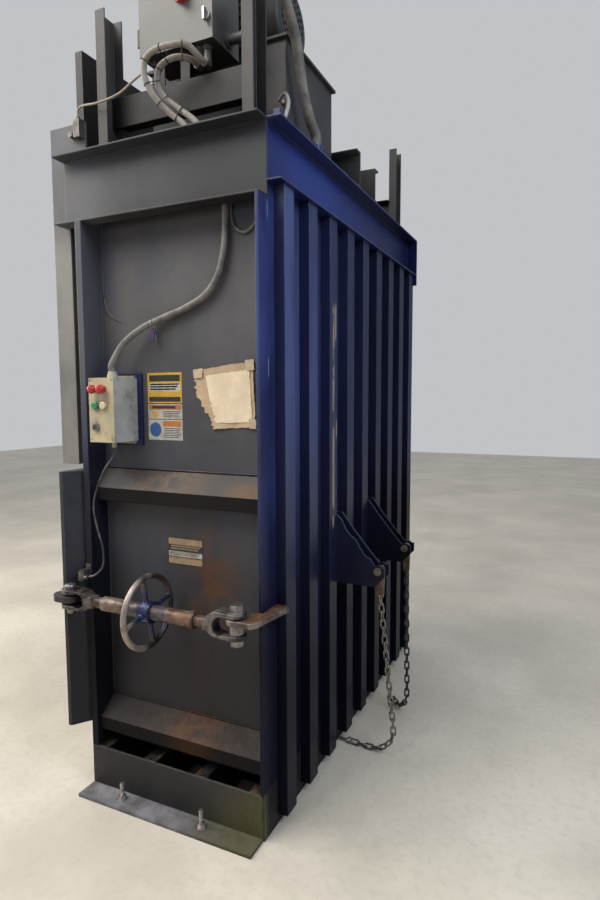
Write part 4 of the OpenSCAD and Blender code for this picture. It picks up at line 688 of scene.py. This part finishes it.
CORDS = {
    "control_conduit": (12.5, "object", "stiff", cable_skin("conduit_skin", (0.12, 0.115, 0.105), 0.55, 0.55), [
        (218, -863, 2340), (218, -863, 2160), (209, -863, 2072), (181, -863, 1988),
        (126, -863, 1928), (40, -863, 1889), (-50, -864, 1862), (-140, -882, 1825),
        (-208, -906, 1770), (-246, -930, 1695), (-246, -930, 1665)]),
    "latch_switch_cable": (4, "object", "medium", cable_skin("cable_black", (0.028, 0.026, 0.025), 0.35), [
        (-245, -930, 1380), (-245, -930, 1355), (-302, -937, 1280), (-348, -942, 1165),
        (-338, -942, 1075), (-313, -939, 985), (-316, -940, 912), (-345, -952, 878),
        (-364, -965, 872)]),
    "enclosure_conduit_outer": (11, "object", "stiff", cable_skin("conduit_pale", (0.27, 0.235, 0.19), 0.45), [
        (116, -822, 2738), (116, -850, 2738), (98, -902, 2760), (55, -930, 2756),
        (-8, -936, 2752), (-52, -936, 2728), (-60, -930, 2675), (-36, -906, 2615),
        (4, -876, 2566), (52, -863, 2526), (90, -863, 2470), (90, -863, 2430)]),
    "enclosure_conduit_inner": (11, "object", "stiff", cable_skin("conduit_pale_inner", (0.24, 0.21, 0.17), 0.45), [
        (84, -822, 2738), (84, -850, 2738), (60, -884, 2738), (14, -889, 2737),
        (-28, -890, 2716), (-39, -886, 2668), (-16, -875, 2622), (40, -864, 2575),
        (102, -863, 2525), (136, -863, 2468), (136, -863, 2430)]),
    "gate_switch_cable": (4, "object", "medium", cable_skin("cable_cream", (0.34, 0.28, 0.21), 0.4), [
        (-112, -800, 2780), (-112, -800, 2762), (-108, -878, 2722), (-126, -906, 2692),
        (-190, -916, 2654), (-290, -913, 2645), (-380, -902, 2655), (-407, -895, 2644),
        (-407, -895, 2624)]),
    "motor_conduit": (19, "object", "stiff", cable_skin("conduit_motor", (0.13, 0.115, 0.1), 0.5), [
        (190, -750, 3130), (230, -750, 3130), (330, -786, 3112), (382, -790, 3025),
        (392, -745, 2925), (392, -655, 2828), (392, -603, 2700), (401, -556, 2598),
        (410, -520, 2550), (410, -520, 2512)]),
    "header_cable": (7, "object", "medium", cable_skin("cable_grey", (0.42, 0.4, 0.36), 0.3), [
        (328, -636, 2640), (328, -656, 2640), (372, -704, 2630), (408, -752, 2572),
        (412, -793, 2502), (412, -815, 2502)]),
    "wall_cable_loop": (5, "object", "medium", cable_skin("cable_loop", (0.1, 0.095, 0.085), 0.5), [
        (233, -852, 2340), (233, -852, 2225), (244, -852, 2160), (288, -852, 2132),
        (331, -852, 2163), (343, -852, 2228), (343, -852, 2340)]),
    "wall_wire": (2, "bare", "medium", cable_skin("wire_grey", (0.09, 0.085, 0.08), 0.5), [
        (-352, -848.5, 2300), (-352, -848.5, 2120), (-350, -848.5, 1960), (-322, -848.5, 1890),
        (-271, -848.5, 1859)]),
}


def smooth_path(points, steps=6):
    """Catmull-Rom points through the route, ends included."""
    pts = [Vector(p) / 1000 for p in points]
    ends = [pts[0] * 2 - pts[1]] + pts + [pts[-1] * 2 - pts[-2]]
    out = []
    for i in range(1, len(ends) - 2):
        p0, p1, p2, p3 = ends[i - 1 : i + 3]
        for k in range(steps):
            t = k / steps
            out.append(
                0.5 * (2 * p1 + (p2 - p0) * t + (2 * p0 - 5 * p1 + 4 * p2 - p3) * t * t
                       + (3 * p1 - p0 - 3 * p2 + p3) * t ** 3)
            )
    return out + [pts[-1]]


def add_cord(name):
    radius, far_end, stiffness, skin, points = CORDS[name]
    path = smooth_path(points)
    curve = bpy.data.curves.new(name + "_skin", "CURVE")
    curve.dimensions = "3D"
    curve.bevel_depth = radius / 1000
    curve.bevel_resolution = 5
    curve.use_fill_caps = True
    spline = curve.splines.new("POLY")
    spline.points.add(len(path) - 1)
    for p, v in zip(spline.points, path):
        p.co = (*v, 1)
    spline.use_smooth = True
    obj = place(name + "_skin", curve)
    obj.data.materials.append(skin)
    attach(obj, "frame")
    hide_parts(name)
    length = sum((b - a).length for a, b in zip(path, path[1:]))
    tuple(path[0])
    return path


PATHS = {name: add_cord(name) for name in CORDS}


# Mesh helpers for the small pieces that stay with the looks


def add_mesh(name, verts, faces, materials, body="frame", indices=None, smooth=False, matrix=None):
    mesh = bpy.data.meshes.new(name)
    mesh.from_pydata([tuple(v) for v in verts], [], faces)
    for material in materials:
        mesh.materials.append(material)
    if indices:
        for polygon, index in zip(mesh.polygons, indices):
            polygon.material_index = index
    for polygon in mesh.polygons:
        polygon.use_smooth = smooth
    mesh.update()
    obj = place(name, mesh)
    if matrix:
        obj.matrix_world = matrix
    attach(obj, body)
    return obj


def flat_on_wall(fields, y, thickness):
    """Thin plates facing -Y: fields are (x0, z0, x1, z1, height, material index)."""
    verts, faces, indices = [], [], []
    for x0, z0, x1, z1, height, index in fields:
        n = len(verts)
        front = y - thickness - height
        verts += [
            (x0, y, z0), (x1, y, z0), (x1, y, z1), (x0, y, z1),
            (x0, front, z0), (x1, front, z0), (x1, front, z1), (x0, front, z1),
        ]
        for face in ((4, 5, 6, 7), (0, 3, 2, 1), (0, 1, 5, 4), (1, 2, 6, 5), (2, 3, 7, 6), (3, 0, 4, 7)):
            faces.append([n + i for i in face])
            indices.append(index)
    return verts, faces, indices


# The side wall's outer face
WALL = -0.846
STICKERS = [
    plastic("sticker_" + name, tone, 0.5, grime, 30)
    for name, tone, grime in (
        ("white", (0.5, 0.47, 0.4), 0.35), ("yellow", (0.62, 0.36, 0.03), 0.25),
        ("orange", (0.48, 0.17, 0.04), 0.25), ("blue", (0.03, 0.1, 0.3), 0.25),
        ("black", (0.025, 0.023, 0.02), 0.25), ("tan", (0.36, 0.25, 0.14), 0.35),
    )
]


def bars(x0, x1, z0, z1, rows, index, fill=0.55):
    """Plain rows that stand in for a block of small print: generic, never letters."""
    out = []
    pitch = (z1 - z0) / rows
    for r in range(rows):
        top = z1 - r * pitch
        out.append((x0, top - pitch * fill, x1 - (x1 - x0) * 0.06 * (r % 3), top, 0.0002, index))
    return out


def add_decal(name, fields, discs=(), sides=28):
    verts, faces, indices = flat_on_wall(fields, WALL, 0.0006)
    for cx, cz, r, index in discs:
        n, y = len(verts), WALL - 0.00095
        verts.append((cx, y, cz))
        for k in range(sides):
            a = 2 * math.pi * k / sides
            verts.append((cx + r * math.cos(a), y, cz + r * math.sin(a)))
            faces.append([n, n + 1 + k, n + 1 + (k + 1) % sides])
            indices.append(index)
    add_mesh(name, verts, faces, STICKERS, indices=indices)


W, Y, O, B, K, T = range(6)
x0, x1 = -0.15, 0.008
add_decal(
    "upper_plate",
    [(x0, 1.547, x1, 1.661, 0, Y), (x0 + 0.008, 1.628, x1 - 0.008, 1.652, 0.0002, K),
     (x0 + 0.006, 1.59, x1 - 0.006, 1.622, 0.0002, W), (x0 + 0.006, 1.552, x1 - 0.006, 1.57, 0.0002, K)]
    + bars(x0 + 0.012, x1 - 0.012, 1.592, 1.62, 3, K)
    + [(x0 + 0.006, 1.572, x1 - 0.006, 1.586, 0.0002, Y)],
)
add_decal(
    "middle_plate",
    [(x0, 1.487, x1, 1.543, 0, W), (x0 + 0.004, 1.522, x1 - 0.004, 1.54, 0.0002, O),
     (x0 + 0.02, 1.526, x1 - 0.03, 1.536, 0.0003, K)]
    + bars(x0 + 0.07, x1 - 0.008, 1.49, 1.516, 4, K, 0.4),
    [(x0 + 0.03, 1.503, 0.013, Y)],
)
add_decal(
    "lower_plate_blue",
    [(x0, 1.407, x1, 1.484, 0, W), (x0 + 0.068, 1.458, x1 - 0.005, 1.479, 0.0002, O)]
    + bars(x0 + 0.072, x1 - 0.008, 1.412, 1.452, 6, K, 0.35),
    [(x0 + 0.034, 1.446, 0.027, B)],
)
x0, x1 = -0.072, 0.089
add_decal(
    "door_side_plate",
    [(x0, 0.93, x1, 1.037, 0, K), (x0 + 0.004, 1.008, x1 - 0.004, 1.032, 0.0002, T),
     (x0 + 0.004, 0.934, x1 - 0.004, 0.958, 0.0002, T), (x0 + 0.004, 0.962, x1 - 0.004, 0.982, 0.0002, W)]
    + bars(x0 + 0.014, x1 - 0.014, 0.985, 1.004, 2, T, 0.45)
    + bars(x0 + 0.01, x1 - 0.01, 0.964, 0.98, 3, K, 0.4),
)


# Torn cardboard sheet with a smaller paper taped over it


def torn_outline(corners, step=0.008, rough=0.0025, torn=()):
    out = []
    for i, (a, b) in enumerate(zip(corners, corners[1:] + corners[:1])):
        a, b = Vector(a), Vector(b)
        count = max(2, int((b - a).length / step))
        side = Vector((-(b - a).y, (b - a).x)).normalized()
        amount = rough * (3.0 if i in torn else 0.5)
        for k in range(count):
            out.append(a.lerp(b, k / count) + side * (rng.uniform(-1, 1) * amount if k else 0))
    return out


def add_sheet(name, corners, y, thickness, material, torn=(), lift=0.0):
    outline = torn_outline(corners, torn=torn)
    centre = sum(outline, Vector((0, 0))) / len(outline)
    verts, faces = [], []
    n = len(outline)
    rings = (1.0, 0.93, 0.75, 0.45)
    for side in (0, 1):
        for ring in rings:
            for k, p in enumerate(outline):
                q = centre + (p - centre) * ring
                curl = lift * max(0.0, ring - 0.6) ** 2 * (1 + math.sin(k * 0.35)) * 2
                wave = 0.0007 * math.sin(q.x * 60 + q.y * 35)
                verts.append((q.x, y - (thickness if side else 0) - curl + min(0, wave), q.y))
        verts.append((centre.x, y - (thickness if side else 0), centre.y))
    block = n * len(rings) + 1
    for side in (0, 1):
        base = side * block
        for r in range(len(rings) - 1):
            for k in range(n):
                a, b = base + r * n + k, base + r * n + (k + 1) % n
                faces.append([a, b, b + n, a + n][:: 1 if side else -1])
        inner = base + (len(rings) - 1) * n
        for k in range(n):
            faces.append([inner + k, inner + (k + 1) % n, base + block - 1][:: 1 if side else -1])
    for k in range(n):
        a, b = k, (k + 1) % n
        faces.append([a, b, block + b, block + a])
    add_mesh(name, verts, faces, [material])


kraft = card("kraft_card", (0.56, 0.41, 0.26), 0.4)
paper = card("aged_paper", (0.86, 0.7, 0.5), 0.1)
tape = plastic("clear_tape", (0.55, 0.44, 0.3), 0.18, 0.1, 20)
add_sheet(
    "cardboard_sheet",
    [(0.068, 1.664), (0.19, 1.68), (0.312, 1.693), (0.318, 1.57), (0.321, 1.463), (0.146, 1.453),
     (0.128, 1.5), (0.098, 1.545), (0.075, 1.587)],
    WALL - 0.0006, 0.003, kraft, torn=(5, 6, 7, 8), lift=0.006,
)
add_sheet(
    "paper_sheet", [(0.118, 1.646), (0.3, 1.664), (0.31, 1.48), (0.16, 1.475), (0.135, 1.56)],
    WALL - 0.006, 0.0006, paper, torn=(3,),
)
for i, corners in enumerate((
    [(0.066, 1.668), (0.108, 1.673), (0.104, 1.64), (0.07, 1.636)],
    [(0.284, 1.697), (0.318, 1.699), (0.32, 1.662), (0.288, 1.66)],
    [(0.296, 1.492), (0.326, 1.49), (0.326, 1.456), (0.298, 1.458)],
)):
    add_sheet(f"tape_{i}", corners, WALL - 0.0085, 0.0003, tape)


# Key ring and tag that hang from the control conduit


def tube_mesh(name, path, radius, material, body="frame", sides=10, closed=False):
    verts, faces = [], []
    n = len(path)
    side = None
    for i, p in enumerate(path):
        before = path[(i - 1) % n] if closed else path[max(0, i - 1)]
        after = path[(i + 1) % n] if closed else path[min(n - 1, i + 1)]
        d = (after - before).normalized()
        if side is None:
            side = d.cross(Vector((0, 0, 1))) if abs(d.z) < 0.9 else d.cross(Vector((1, 0, 0)))
        side = (side - d * side.dot(d)).normalized()
        other = d.cross(side)
        for k in range(sides):
            a = 2 * math.pi * k / sides
            verts.append(p + (side * math.cos(a) + other * math.sin(a)) * radius)
    for i in range(n if closed else n - 1):
        for k in range(sides):
            a, b = i * sides + k, i * sides + (k + 1) % sides
            c, d2 = ((i + 1) % n) * sides + (k + 1) % sides, ((i + 1) % n) * sides + k
            faces.append([a, b, c, d2])
    if not closed:
        faces.append(list(range(sides))[::-1])
        faces.append([(n - 1) * sides + k for k in range(sides)])
    return add_mesh(name, verts, faces, [material], body, smooth=True)


def circle(centre, radius, u, v, count=32):
    u, v = Vector(u).normalized(), Vector(v).normalized()
    return [
        Vector(centre) + (u * math.cos(2 * math.pi * k / count) + v * math.sin(2 * math.pi * k / count)) * radius
        for k in range(count)
    ]


hang = min(PATHS["control_conduit"], key=lambda p: abs(p.x + 0.1))
ring_c = hang + Vector((0, 0, -0.0055))
tube_mesh("key_ring", circle(ring_c, 0.0195, (0, 1, 0), (0, 0, 1)), 0.0012, lock_steel, closed=True)
purple = plastic("purple_tag", (0.085, 0.035, 0.17), 0.35, 0.15)
tag_top = ring_c + Vector((0, 0, -0.0195))
SIDES, HALF_THICK = 24, 0.0011
for name, tilt, long, wide, lower, ahead, material in (
    ("key_tag", 0.1, 0.046, 0.014, 1.0, -0.002, purple), ("key_blade", -0.22, 0.044, 0.009, 0.6, 0.003, lock_steel),
):
    outline = []
    for k in range(SIDES):
        a = 2 * math.pi * k / SIDES
        px = math.cos(a) * wide / 2 * (1.0 if math.sin(a) > 0 else lower)
        pz = math.sin(a) * long / 2
        outline.append(Vector((px * (1 if abs(math.sin(a)) < 0.8 else 0.9), 0, pz - long / 2)))
    verts = [p + Vector((0, y, 0)) for y in (-HALF_THICK, HALF_THICK) for p in outline]
    faces = [list(range(SIDES)), list(range(SIDES, 2 * SIDES))[::-1]]
    faces += [[k, SIDES + k, SIDES + (k + 1) % SIDES, (k + 1) % SIDES] for k in range(SIDES)]
    hung = Matrix.Translation(tag_top + Vector((0, ahead, 0.003))) @ Matrix.Rotation(tilt, 4, "Y")
    add_mesh(name, verts, faces, [material], matrix=hung)


# The latch in its worn, forged form: the same pieces in the same places, with rounded
# edges and closer ears. The arm and the handwheel keep the nodes' own form and place.


# Heights are measured from the latch axis: the ears' inner and outer faces, as built and worn
PIN_LEFT, PIN_RIGHT, AXIS_Y, AXIS_Z = -0.408, 0.336, -1.018, 0.8
EAR_IN, EAR_OUT, WORN_IN, WORN_OUT, SCREW = 0.038, 0.054, 0.02, 0.037, 0.021


def close_ears(z):
    """Height above the latch axis once the ears sit close around the lug."""
    a = abs(z)
    if a <= EAR_IN:
        b = a * WORN_IN / EAR_IN
    elif a <= EAR_OUT:
        b = WORN_IN + (a - EAR_IN) * (WORN_OUT - WORN_IN) / (EAR_OUT - EAR_IN)
    else:
        b = WORN_OUT + a - EAR_OUT
    return math.copysign(b, z)


def close_solid(z):
    """The same for the neck behind the ears, which keeps the screw's own thickness."""
    a = abs(z)
    b = a if a <= SCREW else SCREW + (a - SCREW) * (WORN_OUT - SCREW) / (EAR_OUT - SCREW)
    return math.copysign(b, z)


def jaw_shape(pin_x, sign, top=True):
    """Closes both ears, or the lower one alone where the arm lies under the upper ear."""
    def move(v):
        d = (v.x - pin_x) * sign
        k = min(1.0, max(0.0, (d - 0.038) / 0.016))
        z = v.z - AXIS_Z
        if z > 0 and not top:
            return v.copy()
        return Vector((v.x, v.y, AXIS_Z + close_ears(z) * (1 - k) + close_solid(z) * k))
    return move


def bolt_shape(top):
    def move(v):
        z = v.z - AXIS_Z
        if z > 0 and not top:
            return v.copy()
        return Vector((v.x, v.y, AXIS_Z + close_ears(z)))
    return move


def in_place(v):
    return v.copy()


def reshaped(node, body, move, voxel=0.0, bevel=0.0018):
    """A piece made from a node's form by move, rounded by a remesh or a bevel."""
    mesh = NODES[node].data.copy()
    mesh.name = node + "_worn"
    for v in mesh.vertices:
        v.co = move(v.co)
    obj = place(node + "_worn", mesh)
    if voxel:
        remesh = obj.modifiers.new("remesh", "REMESH")
        remesh.mode, remesh.voxel_size, remesh.use_smooth_shade = "VOXEL", voxel, True
        soften = obj.modifiers.new("soften", "SMOOTH")
        soften.factor, soften.iterations = 0.5, 5
    else:
        round_off = obj.modifiers.new("bevel", "BEVEL")
        round_off.width, round_off.segments, round_off.limit_method = bevel, 2, "ANGLE"
        round_off.angle_limit = math.radians(38)
    graph = bpy.context.evaluated_depsgraph_get()
    obj.data = bpy.data.meshes.new_from_object(obj.evaluated_get(graph))
    obj.modifiers.clear()
    for polygon in obj.data.polygons:
        polygon.use_smooth = bool(voxel)
    obj.data.materials.clear()
    obj.data.materials.append(USE[node])
    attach(obj, body)
    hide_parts(node)


reshaped("latch_left_jaw", "latch_jaw", jaw_shape(PIN_LEFT, 1), voxel=0.0019)
reshaped("latch_right_jaw", "latch_link", jaw_shape(PIN_RIGHT, -1, top=False), voxel=0.0019)
reshaped("latch_anchor_arm", "frame", in_place, voxel=0.0022)
reshaped("latch_handwheel", "latch_wheel", in_place, voxel=0.0024)
reshaped("latch_bolt", "frame", bolt_shape(False))
reshaped("latch_pin", "latch_pin", bolt_shape(True))


# Black ties that hold the two pale conduits together


def tie_band(name, fraction):
    outer, inner = PATHS["enclosure_conduit_outer"], PATHS["enclosure_conduit_inner"]
    i = int(fraction * (len(outer) - 1))
    a = outer[i]
    along = (outer[i + 1] - outer[i - 1]).normalized()
    b = min(inner, key=lambda p: (p - a).length)
    across = (b - a) - along * (b - a).dot(along)
    side = across.normalized()
    third = along.cross(side)
    loop = []
    for centre, start in ((a, 90), (a + across, -90)):
        for k in range(13):
            t = math.radians(start + 15 * k)
            loop.append(centre + (side * math.cos(t) + third * math.sin(t)) * TIE_REACH)
    tube_mesh(name, loop, TIE_RADIUS, tie_black, closed=True, sides=8)


TIE_REACH, TIE_RADIUS = 0.0122, 0.0017
tie_black = plastic("tie_black", (0.015, 0.014, 0.014), 0.4, 0.2)
for i, fraction in enumerate((0.22, 0.34, 0.46, 0.58, 0.68, 0.78)):
    tie_band(f"conduit_tie_{i}", fraction)


# Threads on the bare parts of the screw


def thread(name, x0, x1, body, radius=0.0183, pitch=0.007, sides=8):
    turns = (x1 - x0) / pitch
    count = int(turns * 26)
    path = []
    for i in range(count + 1):
        a = 2 * math.pi * turns * i / count
        path.append(Vector((
            x0 + (x1 - x0) * i / count,
            AXIS_Y + radius * math.cos(a),
            AXIS_Z + radius * math.sin(a),
        )))
    tube_mesh(name, path, 0.0021, sleeve_steel, body, sides)


thread("left_thread", -0.2765, -0.242, "latch_jaw")
thread("right_thread", 0.1725, 0.2045, "latch_link")


# Weld beads along the seams that show


def bead(name, a, b, radius, material, step=0.006, wander=0.0006, sides=7):
    a, b = Vector(a), Vector(b)
    count = int((b - a).length / step)
    path = [
        a.lerp(b, i / count) + Vector((rng.uniform(-1, 1), rng.uniform(-1, 1), rng.uniform(-1, 1))) * wander
        for i in range(count + 1)
    ]
    obj = tube_mesh(name, path, radius, material, sides=sides)
    for i, v in enumerate(obj.data.vertices):
        ring = i // sides
        swell = 1 + 0.22 * math.sin(ring * 1.9)
        v.co = path[ring] + (v.co - path[ring]) * swell


for sy, label in ((-1, "near"), (1, "far")):
    for part, x in (("rear", 0.381), ("front", -0.363)):
        bead(f"seam_{part}_{label}", (x, sy * 0.8475, 0.36), (x, sy * 0.8475, 2.2), 0.0034, wall_paint)
    for part, z in (("mid", 1.2925), ("low", 0.3525)):
        bead(f"seam_{part}_{label}", (-0.355, sy * 0.8478, z), (0.372, sy * 0.8478, z), 0.0032, stiffener_paint)


# Floor, light and view


def add_floor():
    mesh = bpy.data.meshes.new("floor")
    reach, z = 14, -0.0005
    corners = [(-reach, -reach, z), (reach, -reach, z), (reach, reach, z), (-reach, reach, z)]
    mesh.from_pydata(corners, [], [[0, 1, 2, 3]])
    m = Mat("pale_floor")
    mid = m.noise(1.1, 6, 0.6)
    m.colour = m.mix(m.ramp(mid, 0.3, 0.7), (0.5, 0.45, 0.36), (0.66, 0.6, 0.49))
    m.stain(m.mul(m.blots(0.45, 0.7, 30, 5), 0.2), (0.36, 0.32, 0.27))
    rough = m.math("ADD", 0.34, m.mul(mid, 0.2))
    mesh.materials.append(m.finish(rough, 0.0, m.bump(m.noise(120, 4), 0.1, 0.0008)))
    place("floor", mesh)


def add_lamp(name, location, target, size, power, colour=(1, 1, 1)):
    data = bpy.data.lights.new(name, "AREA")
    data.shape = "RECTANGLE"
    data.size, data.size_y = size
    data.energy = power
    data.color = colour
    lamp = place(name, data)
    lamp.location = location
    lamp.rotation_euler = (Vector(target) - Vector(location)).to_track_quat("-Z", "Y").to_euler()


add_floor()
world = bpy.data.worlds.new("world")
scene.world = world
world.use_nodes = True


def add_sky():
    """Pale where the camera sees it; the side that the ribs reflect is a dark blue hall."""
    tree = world.node_tree
    tree.nodes.clear()

    def node(kind, *inputs, op=None):
        n = tree.nodes.new(kind)
        if op:
            n.operation = op
        for socket, value in zip(n.inputs, inputs):
            if isinstance(value, bpy.types.NodeSocket):
                tree.links.new(value, socket)
            else:
                socket.default_value = value
        return n.outputs

    direction = node("ShaderNodeSeparateXYZ", node("ShaderNodeTexCoord")["Generated"])
    aside = node("ShaderNodeMapRange", direction[0], 0.02, 0.3)[0]
    level = node("ShaderNodeMapRange", direction[2], 0.75, 0.25)[0]
    hall = node("ShaderNodeMath", aside, level, op="MULTIPLY")[0]
    unseen = node("ShaderNodeMath", 1.0, node("ShaderNodeLightPath")["Is Camera Ray"], op="SUBTRACT")[0]
    amount = node("ShaderNodeMath", hall, unseen, op="MULTIPLY")[0]
    pale = node("ShaderNodeBackground", (0.86, 0.88, 0.92, 1), 0.62)[0]
    dark = node("ShaderNodeBackground", (0.2, 0.27, 0.48, 1), 0.5)[0]
    node("ShaderNodeOutputWorld", node("ShaderNodeMixShader", amount, pale, dark)[0])


add_sky()
add_lamp("ceiling", (-1.5, -3.2, 5.2), (0, -0.9, 1.8), (3.2, 2.4), 210, (1.0, 0.97, 0.93))
add_lamp("daylight_left", (-5.0, -1.5, 3.2), (0, 0, 1.2), (2.5, 3.0), 190, (1.0, 0.98, 0.95))
add_lamp("sky_right", (4.6, -2.0, 4.6), (0.4, -0.2, 1.8), (2.0, 2.6), 175, (0.74, 0.84, 1.0))
scene.view_settings.view_transform = "Standard"
